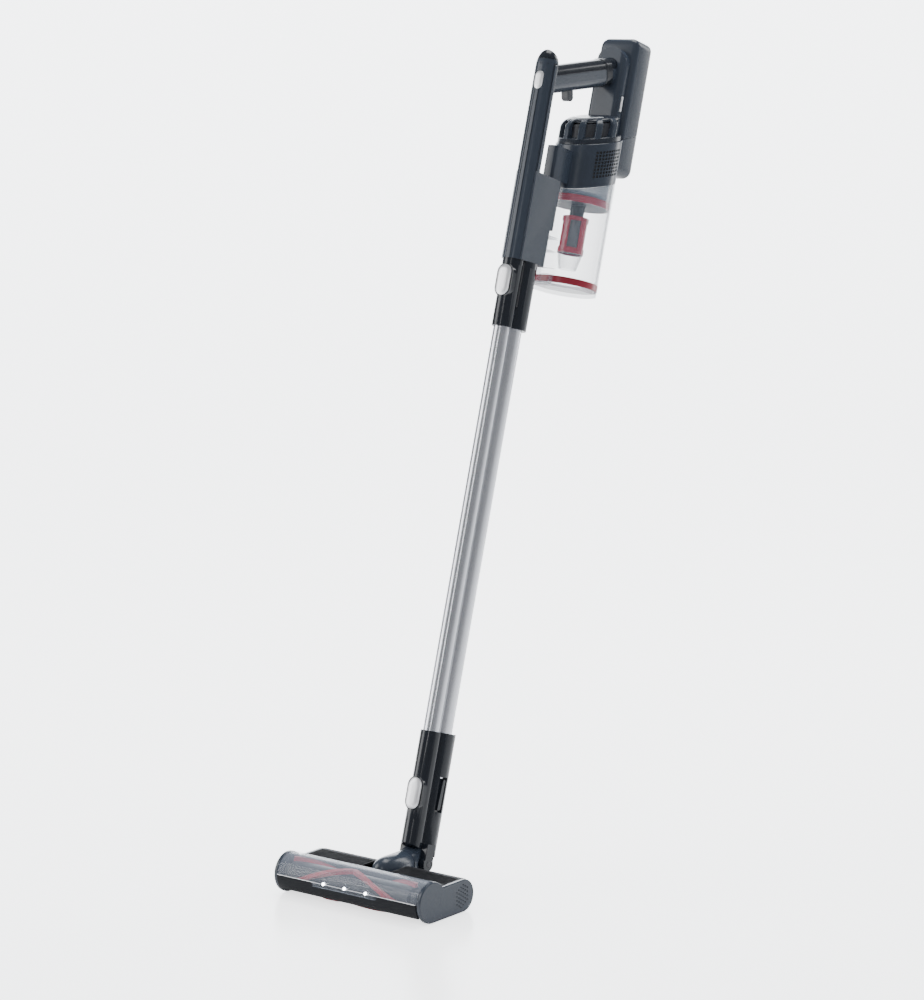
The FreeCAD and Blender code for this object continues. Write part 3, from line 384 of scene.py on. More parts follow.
def cutFlat(bm, point, normal):
    # Takes away what stands beyond a plane and closes the opening.
    result = bmesh.ops.bisect_plane(bm, geom=bm.verts[:] + bm.edges[:] + bm.faces[:], dist=0.0001,
                                    plane_co=point, plane_no=normal, clear_outer=True)
    bmesh.ops.contextual_create(bm, geom=only(result["geom_cut"], bmesh.types.BMEdge))


def cutWith(piece, cutter, place, operation="DIFFERENCE"):
    # Cuts the piece with the cutter's shape for good, with its other modifiers applied too.
    cutter.transform(place)
    mesh = bpy.data.meshes.new("cutter")
    cutter.to_mesh(mesh)
    cutter.free()
    for material in piece.data.materials:
        mesh.materials.append(material)
    tool = bpy.data.objects.new("cutter", mesh)
    bpy.context.scene.collection.objects.link(tool)
    taken = piece.modifiers.new("taken", "BOOLEAN")
    taken.operation = operation
    taken.solver = "EXACT"
    taken.object = tool
    bpy.context.view_layer.objects.active = piece
    for modifier in piece.modifiers[:]:
        bpy.ops.object.modifier_apply(modifier=modifier.name)
    bpy.data.objects.remove(tool)
    bpy.data.meshes.remove(mesh)


# Gives a cutter's faces the piece's second finish, so the walls of the holes it cuts are dark: painted shade in
# the holes.
def inHoleShade(bm):
    for face in bm.faces:
        face.material_index = 1
    return bm


def laidBack(place):
    # A piece made flat, stood up with its top to the front.
    return place @ Matrix.Rotation(math.radians(90), 4, "X")


# Aluminium tube: two lobes drawn as one section, with soft grooves where they meet.
tubeSizes = {"low": 90, "high": 770, "frontPlace": -14, "frontRadius": 11.5, "rearPlace": 5.3,
             "rearRadius": 16.5, "middle": -5.5, "wall": 1.4, "blend": 0.3, "ease": 0.02, "segments": 112}


def lobeReach(angle, place, radius, middle):
    # How far the circle's edge is from the middle along a direction, or nothing where it is missed.
    offset = place - middle
    missed = radius * radius - (offset * math.cos(angle)) ** 2
    return offset * math.sin(angle) + math.sqrt(missed) if missed > 0 else 0.0


def lobedRing(bm, sizes, shrink):
    # The edges of a ring round both lobes.
    ring = bmesh.ops.create_circle(bm, cap_ends=False, segments=sizes["segments"], radius=1.0)["verts"]
    blend, middle = sizes["blend"], sizes["middle"]
    for point in ring:
        angle = math.atan2(point.co.y, point.co.x)
        front = lobeReach(angle, sizes["frontPlace"], sizes["frontRadius"] - shrink, middle)
        rear = lobeReach(angle, sizes["rearPlace"], sizes["rearRadius"] - shrink, middle)
        reach = blend * math.log(math.exp(front / blend) + math.exp(rear / blend)) - blend * sizes["ease"]
        point.co = (reach * math.cos(angle), middle + reach * math.sin(angle), 0)
    inside = set(ring)
    return [edge for edge in {e for point in ring for e in point.link_edges} if inside.issuperset(edge.verts)]


def drawnOut(bm, edges, vector):
    grown = bmesh.ops.extrude_edge_only(bm, edges=edges)["geom"]
    bmesh.ops.translate(bm, verts=only(grown, bmesh.types.BMVert), vec=vector)
    return only(grown, bmesh.types.BMEdge)


def tubeMesh(sizes):
    bm = bmesh.new()
    outer = lobedRing(bm, sizes, 0)
    inner = lobedRing(bm, sizes, sizes["wall"])
    length = sizes["high"] - sizes["low"]
    outerTop = drawnOut(bm, outer, (0, 0, length))
    innerTop = drawnOut(bm, inner, (0, 0, length))
    bmesh.ops.bridge_loops(bm, edges=outer + inner)
    bmesh.ops.bridge_loops(bm, edges=outerTop + innerTop)
    bmesh.ops.translate(bm, verts=bm.verts, vec=(0, 0, sizes["low"]))
    bmesh.ops.recalc_face_normals(bm, faces=bm.faces)
    return bm


finish(tubeMesh(tubeSizes), "drawn_tube", "tube", "silver_tube", stick, ["aluminium_tube"], 50.0)
print("stage: tube made")


# Buttons: brushed ovals with a low crown, lying against the front of the stick.
buttonSizes = {"half": 11.1, "length": 42.4, "seat": -28.2, "lift": 1.6, "crown": 1.8,
               "heights": {"head": 65, "tube": 772}}
modeSizes = {"half": 7.1, "length": 25.4, "seat": -26.9, "lift": 1.5, "crown": 1.2, "height": 1051.5}
crownSteps = {"inset": 6.2, "rises": (0.52, 0.27, 0.13, 0.06, 0.02)}  # parts of the half width and the crown


def ovalMesh(sizes):
    half = sizes["half"]
    straight = sizes["length"] / 2 - half
    bm = bmesh.new()
    ring = bmesh.ops.create_circle(bm, cap_ends=True, segments=40, radius=half)["verts"]
    for point in ring:
        point.co.y += math.copysign(straight, point.co.y) if abs(point.co.y) > 0.001 else straight
    grown = bmesh.ops.extrude_face_region(bm, geom=bm.faces[:])["geom"]
    top = only(grown, bmesh.types.BMFace)
    bmesh.ops.translate(bm, verts=list({v for face in top for v in face.verts}), vec=(0, 0, sizes["lift"]))
    for part in crownSteps["rises"]:
        top = [face for face in top if face.is_valid]
        bmesh.ops.inset_region(bm, faces=top, thickness=half / crownSteps["inset"], use_even_offset=True)
        bmesh.ops.translate(bm, verts=list({v for face in top for v in face.verts}),
                            vec=(0, 0, sizes["crown"] * part))
    bmesh.ops.recalc_face_normals(bm, faces=bm.faces)
    return bm


ovals = {"head_button_oval": ("head_release_button", buttonSizes["heights"]["head"], buttonSizes),
         "tube_button_oval": ("tube_release_button", buttonSizes["heights"]["tube"], buttonSizes),
         "mode_button_oval": ("mode_button", modeSizes["height"], modeSizes)}
for name, (node, height, sizes) in ovals.items():
    finish(ovalMesh(sizes), name, bodyOf[node], "silver_button",
           laidBack(stick @ Matrix.Translation((0, sizes["seat"], height))), [node], 60.0)
print("stage: buttons made")


# Motor housing: a band round the cup's axis with a grid of square air holes on its right side, the holes' walls
# dark with painted shade.
motorSizes = {"radius": 46, "low": 938, "high": 1000, "lip": 3, "round": 0.6, "columns": 10, "rows": 8,
              "flat": 28.9, "hole": 3.3, "pitch": 4.9, "pitchAngle": 6.1, "firstAngle": -36, "firstRow": 15}


def motorMesh(sizes):
    # The band with a lip turned in at its top and foot.
    radius, high, edge = sizes["radius"], sizes["high"] - sizes["low"], sizes["round"]
    inner = radius - sizes["lip"]
    bm = turnedMesh([(inner, 0), (radius - edge, 0), (radius, edge), (radius, high - edge),
                     (radius - edge, high), (inner, high), (inner, 0)], 120)
    cutFlat(bm, (0, sizes["flat"], 0), (0, 1, 0))
    return bm


def grillePegs(sizes):
    # Square pegs that cut the air holes, in a grid on the band's right side.
    bm = bmesh.new()
    for column in range(sizes["columns"]):
        for row in range(sizes["rows"]):
            angle = math.radians(sizes["firstAngle"] + column * sizes["pitchAngle"])
            up = sizes["firstRow"] + row * sizes["pitch"]
            place = Matrix.Rotation(angle, 4, "Z") @ Matrix.Translation((sizes["radius"], 0, up))
            bmesh.ops.create_cube(bm, size=sizes["hole"], matrix=place)
    return inHoleShade(bm)


motorBand = finish(motorMesh(motorSizes), "motor_band", "handheld", "slate_shell", sheared(motorSizes["low"]),
                   ["motor_housing"], 32.0, extra=[finishes["black_rubber"]])
cutWith(motorBand, grillePegs(motorSizes), sheared(motorSizes["low"]))

# A dark drum stands behind the air holes as painted shade inside the housing, and a tab joins the housing to the
# battery's foot.
shadeDrumSizes = {"radius": 42, "low": 1, "high": 61, "flat": 26.9}
motorShadeDrum = turnedMesh([(0, shadeDrumSizes["low"]), (shadeDrumSizes["radius"], shadeDrumSizes["low"]),
                        (shadeDrumSizes["radius"], shadeDrumSizes["high"]), (0, shadeDrumSizes["high"])], 90)
cutFlat(motorShadeDrum, (0, shadeDrumSizes["flat"], 0), (0, 1, 0))
finish(motorShadeDrum, "motor_shade_drum", "handheld", "black_rubber", sheared(motorSizes["low"]), [], 40.0)
tabSizes = {"half": 9, "front": 28, "back": 68, "frontCorner": 4, "backCorner": 1, "tall": 47, "low": 927}
tabMesh = slabMesh(rectangle(tabSizes["half"], tabSizes["front"], tabSizes["back"], tabSizes["frontCorner"],
                             tabSizes["backCorner"]), tabSizes["tall"], 6)
finish(tabMesh, "motor_tab", "handheld", "slate_shell", stick @ Matrix.Translation((0, 0, tabSizes["low"])), [],
       32.0, 0.8)
print("stage: motor housing made")


# Exhaust cap: a dark drum behind rounded ribs, under a plate with a raised crescent in pale plastic, a painted
# highlight.
capSizes = {"base": 44.4, "low": 0.4, "ring": 8.0, "lap": 1.5, "round": 1.2, "high": 36.6, "plate": 36.0,
            "flat": 14.6, "plateRim": ((0, -7), (1.2, -5.2), (0.6, -3.2), (-2.0, -1.6), (-7.0, -0.6))}
drumSizes = {"radius": 36.5, "low": 4, "opening": 10, "wall": 9, "lid": 5, "lidOpening": 20, "back": 2}
ribSizes = {"count": 11, "first": -72, "wide": 9.5, "low": 5, "proud": 0.3, "below": 1.6, "corner": 13,
            "innerCorner": 8, "deep": 5.2, "thick": 5, "tip": 4, "hook": 12, "root": 3, "clear": 6}


def capDrumMesh(sizes, drum):
    bm = turnedMesh([(drum["opening"], drum["low"]), (drum["radius"], drum["low"]),
                     (drum["radius"], sizes["high"] - drum["wall"]),
                     (drum["lidOpening"], sizes["high"] - drum["lid"])], 90)
    cutFlat(bm, (0, sizes["flat"] - drum["back"], 0), (0, 1, 0))
    return bm


def capShellMesh(sizes, drum):
    # The foot ring and the top plate.
    base, low, ring, top = sizes["base"], sizes["low"], sizes["ring"], sizes["high"]
    inner = drum["radius"] - sizes["lap"]
    bm = turnedMesh([(inner, low), (base, low), (base, ring - sizes["round"]), (base - 1.0, ring),
                     (inner, ring + sizes["round"]), (inner, low)], 120)
    rim = [(sizes["plate"] + out, top + up) for out, up in sizes["plateRim"]]
    joined(bm, turnedMesh([(0, rim[0][1]), *rim, (0, top)], 120))
    cutFlat(bm, (0, sizes["flat"], 0), (0, 1, 0))
    return bm


def ribMesh(sizes, drum, rib):
    # One upright rib that curves over into the top plate.
    bm = bmesh.new()
    outer, top = sizes["base"] - rib["proud"], sizes["high"] - rib["below"]
    hook = sizes["plate"] - rib["hook"]
    outlineFace(bm, [(drum["radius"] - rib["root"], rib["low"]), (outer, rib["low"]),
                     (outer, top, rib["corner"]), (hook, top), (hook, top - rib["tip"]),
                     (outer - rib["deep"], top - rib["thick"], rib["innerCorner"])], 10)
    turned(bm, 90, "X")
    thickened(bm, (0, rib["wide"], 0))
    bmesh.ops.translate(bm, verts=bm.verts, vec=(0, -rib["wide"] / 2, 0))
    return bm


def capRibsMesh(sizes, drum, rib):
    bm = bmesh.new()
    for number in range(rib["count"]):
        angle = math.radians(rib["first"] + (number - (rib["count"] - 1) / 2) * 360 / rib["count"])
        if math.sin(angle) * sizes["base"] <= sizes["flat"] - rib["clear"]:
            joined(bm, ribMesh(sizes, drum, rib), Matrix.Rotation(angle, 4, "Z"))
    return bm


crescentHighlightSizes = {"inner": 22.0, "outer": 30.0, "slope": 0.6, "rise": 1.0, "angle": 128, "start": -154,
                 "sunk": 0.9}


def crescentHighlightMesh(sizes, top):
    # A raised arc along the front of the top plate, pale as a painted highlight.
    inner, outer, slope = sizes["inner"], sizes["outer"], sizes["slope"]
    bm = turnedMesh([(inner, 0), (inner + slope, sizes["rise"]), (outer - slope, sizes["rise"]), (outer, 0)],
                    40, sizes["angle"])
    turned(bm, sizes["start"], "Z")
    bmesh.ops.translate(bm, verts=bm.verts, vec=(0, 0, top - sizes["sunk"]))
    return bm


capPlace = sheared(motorSizes["high"])
finish(capShellMesh(capSizes, drumSizes), "cap_shell", "rear_cap", "dark_shell", capPlace, ["exhaust_cap"],
       40.0, 0.5)
finish(capRibsMesh(capSizes, drumSizes, ribSizes), "cap_ribs", "rear_cap", "slate_shell", capPlace, [],
       34.0, 2.8)
finish(capDrumMesh(capSizes, drumSizes), "cap_mesh_drum", "rear_cap", "black_plastic", capPlace, [], 40.0)
finish(crescentHighlightMesh(crescentHighlightSizes, capSizes["high"]), "cap_crescent_highlight", "rear_cap", "pale_lid_plastic", capPlace,
       [], 40.0)
print("stage: exhaust cap made")


# Floor head: end caps, the right one with air holes.
ventSizes = {"half": 125, "count": 6, "gap": 4.4, "rise": 5.4, "middle": (62.0, 22.5), "reach": 15.5,
             "radius": 1.3, "deep": 5.0, "drop": 0.25}


def ventCutter(sizes):
    # Short pegs that cut the air holes, in staggered rows inside a circle.
    bm = bmesh.new()
    centre = (sizes["count"] - 1) / 2
    for column in range(sizes["count"]):
        for row in range(sizes["count"]):
            back = (column - centre) * sizes["gap"]
            up = (row - centre - sizes["drop"] + (column % 2) * 0.5) * sizes["rise"]
            if math.hypot(back, up) > sizes["reach"]:
                continue
            place = Matrix.Translation((sizes["half"], sizes["middle"][0] + back, sizes["middle"][1] + up))
            bmesh.ops.create_cone(bm, cap_ends=True, segments=14, radius1=sizes["radius"],
                                  radius2=sizes["radius"], depth=sizes["deep"],
                                  matrix=place @ Matrix.Rotation(math.radians(90), 4, "Y"))
    return inHoleShade(bm)


for node in ("left_end_cap", "right_end_cap"):
    endCap = softened(node, 1.4)
    # The end caps take a dark plastic second finish for the walls of their air holes: painted shade in the holes.
    endCap.data.materials.append(finishes["black_plastic"])
cutWith(endCap, ventCutter(ventSizes), head)

# Brush roller: chevron strips carrying tufts of bristle.
rollerSizes = {"core": 18.4, "reach": 24.2, "strips": 3, "halfLength": 104, "middle": -7, "twist": 118,
               "steps": 46, "footHalf": 3.6, "topHalf": 2.8, "sunk": 0.4, "backing": 3.6}
tuftSizes = {"count": 52, "low": 2.4, "high": 3.034, "overlap": 1.0, "short": 0.3, "wander": 0.8, "lean": 5}


def rollerStripMesh(sizes):
    # Each half of a strip is a helix that meets its mirror image in the middle.
    bm = bmesh.new()
    section = ((-sizes["footHalf"], -sizes["sunk"]), (-sizes["topHalf"], sizes["backing"]),
               (sizes["topHalf"], sizes["backing"]), (sizes["footHalf"], -sizes["sunk"]))
    for strip in range(sizes["strips"]):
        start = Matrix.Rotation(math.radians(360 / sizes["strips"] * strip), 3, "X")
        for side in (-1, 1):
            profile = [bm.verts.new((sizes["middle"], across, sizes["core"] + up)) for across, up in section]
            bmesh.ops.rotate(bm, verts=profile, cent=(0, 0, 0), matrix=start)
            edges = [bm.edges.new((profile[i], profile[(i + 1) % 4])) for i in range(4)]
            bmesh.ops.spin(bm, geom=profile + edges, cent=(0, 0, 0), axis=(1, 0, 0),
                           dvec=(side * sizes["halfLength"] / sizes["steps"], 0, 0),
                           angle=math.radians(sizes["twist"]), steps=sizes["steps"], use_merge=False)
    bmesh.ops.remove_doubles(bm, verts=bm.verts, dist=0.01)
    endsFilled(bm)
    bmesh.ops.recalc_face_normals(bm, faces=bm.faces)
    return bm


def tuftMesh(sizes, tuft):
    # The bristles stand on the strips in tufts that flare at their tips.
    bm = bmesh.new()
    random.seed(11)
    tall = sizes["reach"] - sizes["core"] - sizes["backing"] + tuft["overlap"]
    up = sizes["reach"] - tall / 2 - tuft["short"]
    for strip in range(sizes["strips"]):
        for side in (-1, 1):
            for number in range(tuft["count"]):
                part = (number + 0.5) / tuft["count"]
                wander = random.uniform(-tuft["wander"], tuft["wander"])
                turn = math.radians(360 / sizes["strips"] * strip + part * sizes["twist"] + wander)
                lean = Matrix.Rotation(math.radians(random.uniform(-tuft["lean"], tuft["lean"])), 4, "Y")
                across = sizes["middle"] + side * part * sizes["halfLength"]
                stand = Matrix.Rotation(turn, 4, "X") @ Matrix.Translation((across, 0, up)) @ lean
                bmesh.ops.create_cone(bm, cap_ends=True, segments=7, radius1=tuft["low"],
                                      radius2=tuft["high"], depth=tall, matrix=stand)
    return bm


finish(rollerStripMesh(rollerSizes), "brush_strips", "roller", "red_bristles", brush, ["bristle_rows"], 30.0)
finish(tuftMesh(rollerSizes, tuftSizes), "brush_tufts", "roller", "red_bristles", brush, [], 50.0)

# Front bumper, and a thin bright strip between it and the roller window: a painted highlight along the window's
# lower lip.
bumperSizes = {"centre": 27.5, "inner": 26.0, "outer": 28.6, "half": 118.9, "low": -40, "high": 4.0}
lipHighlightSizes = {"inner": 27.7, "outer": 28.8, "half": 117.9, "low": 4.0, "high": 5.4}


def sectorMesh(sizes):
    # Part of a tube along x: angles are from the front, turning up.
    inner, outer, half, low, high = (sizes[key] for key in ("inner", "outer", "half", "low", "high"))
    bm = turnedMesh([(inner, -half), (outer, -half), (outer, half), (inner, half), (inner, -half)],
                    14, high - low)
    endsFilled(bm)
    middle = sum((math.atan2(point.co.y, point.co.x) for point in bm.verts)) / len(bm.verts)
    turned(bm, (low + high) / 2 - math.degrees(middle), "Z")
    bm.transform(Matrix(((0, 0, -1, 0), (-1, 0, 0, 0), (0, 1, 0, 0), (0, 0, 0, 1))))
    bmesh.ops.recalc_face_normals(bm, faces=bm.faces)
    return bm


bumperPlace = head @ Matrix.Translation((0, 0, bumperSizes["centre"]))
finish(sectorMesh(bumperSizes), "bumper_band", "head", "gloss_black", bumperPlace, ["front_bumper"], 30.0, 0.4,
       look=bumperFinish)
finish(sectorMesh(lipHighlightSizes), "window_lip_highlight", "head", "silver_button", bumperPlace, [], 30.0, 0.2)

# Rear cover: fine ribs across its top, on both sides of the elbow.
coverRibSizes = {"first": 36, "last": 63, "pitch": 3, "inner": 27, "outer": 117, "low": 43.6, "high": 44.5,
                 "wide": 1.2, "round": 0.4}


def coverRibsMesh(sizes):
    bm = bmesh.new()
    length = sizes["outer"] - sizes["inner"]
    shape = Matrix.Diagonal((length, sizes["wide"], sizes["high"] - sizes["low"], 1))
    for back in range(sizes["first"], sizes["last"] + 1, sizes["pitch"]):
        for side in (-1, 1):
            middle = (side * (sizes["inner"] + length / 2), back, (sizes["low"] + sizes["high"]) / 2)
            bmesh.ops.create_cube(bm, size=1, matrix=Matrix.Translation(middle) @ shape)
    bmesh.ops.bevel(bm, geom=[edge for edge in bm.edges if edge.calc_length() > sizes["inner"]],
                    offset=sizes["round"], segments=2, profile=0.5, affect="EDGES", material=-1)
    return bm


finish(coverRibsMesh(coverRibSizes), "cover_ribs", "head", slotOf["rear_cover"], head, [], 30.0,
       look=coverFinish)

# Lamps: three low lenses over the roller window.
lampSizes = {"places": (-36, 0, 36), "back": -30.2, "up": 31.2, "radius": 2.3, "tilt": 62, "flatten": 0.55}


def lampMesh(sizes):
    bm = bmesh.new()
    tilt = Matrix.Rotation(math.radians(sizes["tilt"]), 4, "X")
    for across in sizes["places"]:
        place = Matrix.Translation((across, sizes["back"], sizes["up"])) @ tilt
        bmesh.ops.create_uvsphere(bm, u_segments=20, v_segments=10, radius=sizes["radius"],
                                  matrix=place @ Matrix.Diagonal((1, 1, sizes["flatten"], 1)))
    return bm


finish(lampMesh(lampSizes), "lamp_lenses", "head", "lamp_white", head, ["led_strip"], 60.0)
print("stage: floor head details made")

# The elbow's fixed half: a smooth round-nosed tube over the head, on a flat foot.
noseSizes = {"up": 38, "footHalf": 23.4, "footFront": 36.6, "footBack": 60, "footLow": 16, "footHigh": 24,
             "footCorner": 4, "profile": ((0, 37.0), (5.5, 37.8), (10.4, 40.2), (14.0, 44.4), (16.4, 50.0),
                                          (17.4, 57.0), (17.5, 64), (17.5, 96), (16.9, 96.8), (0, 96.8))}
noseMesh = turnedMesh(noseSizes["profile"], 72)
noseMesh.transform(Matrix.Translation((0, 0, noseSizes["up"])) @ Matrix.Rotation(math.radians(-90), 4, "X"))
joined(noseMesh, slabMesh(rectangle(noseSizes["footHalf"], noseSizes["footFront"], noseSizes["footBack"],
                                    noseSizes["footCorner"], noseSizes["footCorner"]),
                          noseSizes["footHigh"] - noseSizes["footLow"]),
       Matrix.Translation((0, 0, noseSizes["footLow"])))
finish(noseMesh, "elbow_nose", "head", "slate_shell", head, ["elbow_front"], 40.0)

# The other shells keep their solids' shapes, with rounded edges. A few are shown in another finish.
roundings = {
    "tube_socket": 0.9, "spine_front_shell": 0.7, "spine_rear_strip": 0.7, "duct_housing": 0.9,
    "handle_top_shell": 0.8, "handle_lower_shell": 0.8, "trigger": 0.9, "battery_dock": 2.2,
    "battery_release_button": 0.5, "cup_release_lever": 0.8, "lower_connector": 0.9,
    "neck_socket": 0.9, "elbow_rear": 0.8, "rear_cover": 1.2,
    "head_chassis": 0.5, "sole_plate": 0.4, "cyclone_cage": 0.6, "left_rear_wheel": 1.2,
    "right_rear_wheel": 1.2, "cyclone_head": 0.6, "brush_core": 0.8, "lid_seal": 0.5, "hinge_pin": 0.8,
}
otherSlots = {"elbow_rear": "slate_shell", "duct_housing": "slate_shell", "hinge_pin": "black_plastic"}
otherLooks = {"rear_cover": coverFinish}
for node, width in roundings.items():
    softened(node, width, otherSlots.get(node), otherLooks.get(node))
print("stage: shells softened,", len(roundings))

# Battery: one rounded slab, parted along the deck's slope into the battery's case and its cradle.
slabSizes = {"half": 32, "low": 962, "high": 1157, "corner": 12, "front": 141, "rear": 183, "edge": 7.5,
             "cupBack": 112, "seam": 1000, "caseGap": 0.35, "footGap": 0.1}
slabPlace = laidBack(stick @ Matrix.Translation((0, slabSizes["rear"], 0)))


def batterySlabMesh(sizes, upper):
    bm = slabMesh(rectangle(sizes["half"], sizes["low"], sizes["high"], sizes["corner"], sizes["corner"]),
                  sizes["rear"] - sizes["front"])
    rims = [edge for edge in bm.edges if edge.calc_face_angle(0) > 1.2]
    bmesh.ops.bevel(bm, geom=rims, offset=sizes["edge"], segments=7, profile=0.5, affect="EDGES", material=-1)
    seam = sizes["seam"] + (sizes["rear"] - sizes["cupBack"]) * deckTan
    if upper:
        cutFlat(bm, (0, seam + sizes["caseGap"], 0), (0, -1, -deckTan))
    else:
        cutFlat(bm, (0, seam - sizes["footGap"], 0), (0, 1, deckTan))
    bmesh.ops.recalc_face_normals(bm, faces=bm.faces)
    return bm


for name, node, upper in (("battery_slab", "battery_case", True), ("battery_foot", "battery_cradle", False)):
    finish(batterySlabMesh(slabSizes, upper), name, bodyOf[node], slotOf[node], slabPlace, [node], 40.0, 0.6)

# The charging socket's mouth: a low collar round a dark dish.
jackSizes = {"up": 978, "profile": ((0, 0.5), (3.0, 0.5), (3.3, -0.3), (5.4, -0.3), (5.8, 0.6))}
finish(turnedMesh(jackSizes["profile"], 48), "jack_mouth", bodyOf["battery_cradle"], "black_plastic",
       slabPlace @ Matrix.Translation((0, jackSizes["up"], 0)), [], 40.0)

# Painted shade: dark rods laid in the hollows between the tube socket's two lobes.
grooveShadeSizes = {"across": 13.4, "back": -7.8, "low": 738, "high": 801, "radius": 1.5, "round": 1}
for side, name in ((-1, "left_groove_shade"), (1, "right_groove_shade")):
    grooveShade = turnedMesh([(0, grooveShadeSizes["low"]),
                         (grooveShadeSizes["radius"], grooveShadeSizes["low"] + grooveShadeSizes["round"]),
                         (grooveShadeSizes["radius"], grooveShadeSizes["high"] - grooveShadeSizes["round"]),
                         (0, grooveShadeSizes["high"])], 16)
    finish(grooveShade, name, "handheld", "black_rubber",
           stick @ Matrix.Translation((side * grooveShadeSizes["across"], grooveShadeSizes["back"], 0)), [], 40.0)
print("stage: battery and groove_shades made")

# Cup: the smoky band inside its top, and the clear lid below.
smokySizes = {"inner": 43.6, "low": 917, "high": 960, "deck": 937.2, "wall": 0.8}


def smokyBandMesh(sizes):
    bm = turnedMesh([(sizes["inner"], sizes["low"]), (sizes["inner"], sizes["high"])])
    bmesh.ops.bisect_plane(bm, geom=bm.verts[:] + bm.edges[:] + bm.faces[:], dist=0.0001,
                           plane_co=(0, 0, sizes["deck"]), plane_no=(0, -deckTan, 1), clear_outer=True)
    bmesh.ops.solidify(bm, geom=bm.faces[:], thickness=sizes["wall"])
    bmesh.ops.recalc_face_normals(bm, faces=bm.faces)
    return bm


finish(smokyBandMesh(smokySizes), "cup_smoky_band", "cup", "clear_cup_plastic", cupAxis, [], 40.0,
       look=smokyPlastic)
softened("cup_lid", 1.2, "clear_cup_plastic")

# Spine: its shells are drawn in towards a tall rounded top, which the cap closes.
spineSizes = {"half": 16.02, "front": -29.02, "back": -8.98, "round": 14, "rear": 2, "start": 1074,
              "seam": 1082.5, "gap": 0.1, "top": 1096, "middle": -19, "steps": 14, "tip": 0.02,
              "shellFoot": 700, "capFoot": 1000}


def domeMesh(sizes, low):
    # The spine's section, drawn up and then in on itself like half an egg.
    bm = bmesh.new()
    outlineFace(bm, rectangle(sizes["half"], sizes["front"], sizes["back"], sizes["round"], sizes["rear"]), 10)
    bmesh.ops.translate(bm, verts=bm.verts, vec=(0, 0, low))
    rise = sizes["top"] - sizes["start"]
    before, height = 1.0, low
    grown = bmesh.ops.extrude_face_region(bm, geom=bm.faces[:], use_keep_orig=True)["geom"]
    for step in range(sizes["steps"] + 1):
        target = sizes["start"] + rise * math.sin(math.pi / 2 * step / sizes["steps"])
        points = only(grown, bmesh.types.BMVert)
        size = max(sizes["tip"], math.sqrt(max(0.0, 1 - ((target - sizes["start"]) / rise) ** 2)))
        bmesh.ops.translate(bm, verts=points, vec=(0, 0, target - height))
        bmesh.ops.scale(bm, verts=points, vec=(size / before, size / before, 1),
                        space=Matrix.Translation((0, -sizes["middle"], 0)))
        before, height = size, target
        if step < sizes["steps"]:
            grown = bmesh.ops.extrude_face_region(bm, geom=only(grown, bmesh.types.BMFace))["geom"]
    bmesh.ops.recalc_face_normals(bm, faces=bm.faces)
    return bm


for node in ("spine_front_shell", "spine_rear_strip"):
    dome = domeMesh(spineSizes, spineSizes["shellFoot"])
    cutWith(bpy.data.objects[node + "_shell"], dome, stick, "INTERSECT")
capDome = domeMesh(spineSizes, spineSizes["capFoot"])
cutFlat(capDome, (0, 0, spineSizes["seam"] + spineSizes["gap"]), (0, 0, -1))
finish(capDome, "spine_dome", "handheld", "gloss_black", stick, ["spine_top_cap"], 50.0)

# Handle: a dark rounded collar where it meets the dock.
collarSizes = {"half": 15.9, "tall": 20.1, "corner": 13.8, "front": 111, "long": 15}
collarMesh = slabMesh(rectangle(collarSizes["half"], -collarSizes["tall"], collarSizes["tall"],
                                collarSizes["corner"], collarSizes["corner"]), collarSizes["long"])
collarBack = collarSizes["front"] + collarSizes["long"]
finish(collarMesh, "handle_collar", "handheld", "gloss_black",
       laidBack(handle @ Matrix.Translation((0, collarBack, 0))), [], 32.0, 1.6)
print("stage: cup, spine top and collar made")

# Studio: soft lights all round the object.
lightBoxes = {
    "leftBox": {"place": (-2.3, -1.9, 1.2), "aim": 0.7, "size": (1.6, 2.6), "power": 60},
    "rightBox": {"place": (1.0, 3.2, 1.5), "aim": 0.7, "size": (1.0, 2.6), "power": 40},
    "topBox": {"place": (-0.2, 0.6, 3.0), "aim": 0.5, "size": (1.6, 1.6), "power": 50},
    "frontStrip": {"place": (0.7, -3.2, 1.6), "aim": 0.6, "size": (0.25, 1.6), "power": 9},
}


def facingAim(item, place, aim):
    item.location = place
    item.rotation_euler = (Vector(aim) - Vector(place)).to_track_quat("-Z", "Y").to_euler()
    bpy.context.scene.collection.objects.link(item)


for name, box in lightBoxes.items():
    data = bpy.data.lights.new(name, "AREA")
    data.shape = "RECTANGLE"
    data.size, data.size_y = box["size"]
    data.energy = box["power"]
    light = bpy.data.objects.new(name, data)
    light.visible_camera = False
    facingAim(light, box["place"], (0, 0, box["aim"]))

# A pale glossy floor, lit up evenly to the eye only.
floorLook = {"half": 400, "drift": 3.0, "dark": 0.90, "pale": 0.93, "rough": 0.24, "glow": 1.7,
             "glowColour": (0.98, 0.99, 1.0, 1.0)}
floorMesh = bpy.data.meshes.new("studioFloor")
floorBm = bmesh.new()
bmesh.ops.create_grid(floorBm, x_segments=1, y_segments=1, size=floorLook["half"])
floorBm.to_mesh(floorMesh)
floorBm.free()
studioFloor = bpy.data.objects.new("studioFloor", floorMesh)
bpy.context.scene.collection.objects.link(studioFloor)
floorFinish, floorNodes, floorLinks, floorShader, floorCoords = newMaterial("paleFloor")
floorDrift = noiseAt(floorNodes, floorLinks, floorCoords, floorLook["drift"])
floorTint = ramp(floorNodes, floorLinks, floorDrift.outputs["Fac"],
                 [(0.2, grey(floorLook["dark"])), (0.8, grey(floorLook["pale"]))])
floorLinks.new(floorTint.outputs["Color"], floorShader.inputs["Base Color"])
floorShader.inputs["Roughness"].default_value = floorLook["rough"]
floorShader.inputs["Emission Color"].default_value = floorLook["glowColour"]
floorRays = floorNodes.new("ShaderNodeLightPath")
floorGlow = floorNodes.new("ShaderNodeMath")
floorGlow.operation = "MULTIPLY"
floorGlow.inputs[1].default_value = floorLook["glow"]
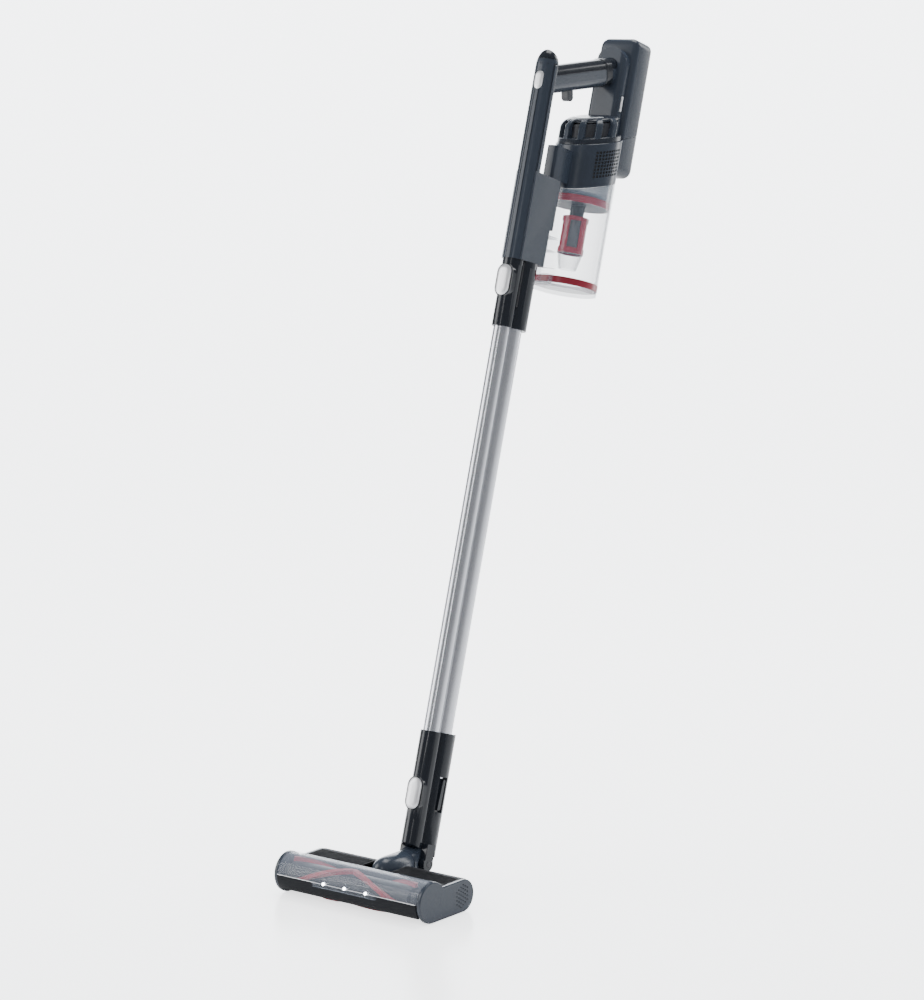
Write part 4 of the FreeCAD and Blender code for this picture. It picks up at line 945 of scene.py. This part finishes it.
floorLinks.new(floorRays.outputs["Is Camera Ray"], floorGlow.inputs[0])
floorLinks.new(floorGlow.outputs["Value"], floorShader.inputs["Emission Strength"])
floorMesh.materials.append(floorFinish)

# The room around: bright to the eye, softer on matt surfaces, and in reflections dim but for one far side.
roomLook = {"open": 5.0, "openColour": (0.97, 0.985, 1, 1), "colour": (0.93, 0.96, 1, 1), "diffuse": 1.3,
            "dim": 0.22, "bright": 6.0, "brightWay": (-0.613, 0.79, 0), "brightFrom": 0.80, "brightFull": 0.95}
world = bpy.data.worlds.new("studio")
bpy.context.scene.world = world
world.use_nodes = True
roomNodes = world.node_tree.nodes
roomLinks = world.node_tree.links
background = roomNodes["Background"]
background.inputs["Color"].default_value = roomLook["openColour"]
background.inputs["Strength"].default_value = roomLook["open"]


def room(strength):
    shaderNode = roomNodes.new("ShaderNodeBackground")
    shaderNode.inputs["Color"].default_value = roomLook["colour"]
    shaderNode.inputs["Strength"].default_value = strength
    return shaderNode


def between(factor, first, second):
    mixNode = roomNodes.new("ShaderNodeMixShader")
    roomLinks.new(factor, mixNode.inputs[0])
    roomLinks.new(first.outputs[0], mixNode.inputs[1])
    roomLinks.new(second.outputs[0], mixNode.inputs[2])
    return mixNode


rays = roomNodes.new("ShaderNodeLightPath")
way = roomNodes.new("ShaderNodeTexCoord")
facing = roomNodes.new("ShaderNodeVectorMath")
facing.operation = "DOT_PRODUCT"
facing.inputs[1].default_value = roomLook["brightWay"]
roomLinks.new(way.outputs["Generated"], facing.inputs[0])
farSide = ramp(roomNodes, roomLinks, facing.outputs["Value"],
               [(roomLook["brightFrom"], grey(0.0)), (roomLook["brightFull"], grey(1.0))])
gloss = between(farSide.outputs["Color"], room(roomLook["dim"]), room(roomLook["bright"]))
lit = between(rays.outputs["Is Diffuse Ray"], background, room(roomLook["diffuse"]))
pick = between(rays.outputs["Is Glossy Ray"], lit, gloss)
roomLinks.new(pick.outputs[0], roomNodes["World Output"].inputs["Surface"])

cameraSizes = {"lens": 112.43, "sensor": 36, "clipEnd": 1500, "place": (2.5573, -3.36952, 1.20281),
               "aim": (0.17369, -0.2981, 0.56338)}
cameraData = bpy.data.cameras.new("studioCamera")
cameraData.lens = cameraSizes["lens"]
cameraData.sensor_width = cameraSizes["sensor"]
cameraData.clip_end = cameraSizes["clipEnd"]
camera = bpy.data.objects.new("studioCamera", cameraData)
facingAim(camera, cameraSizes["place"], cameraSizes["aim"])
bpy.context.scene.camera = camera
print("stage: studio made")
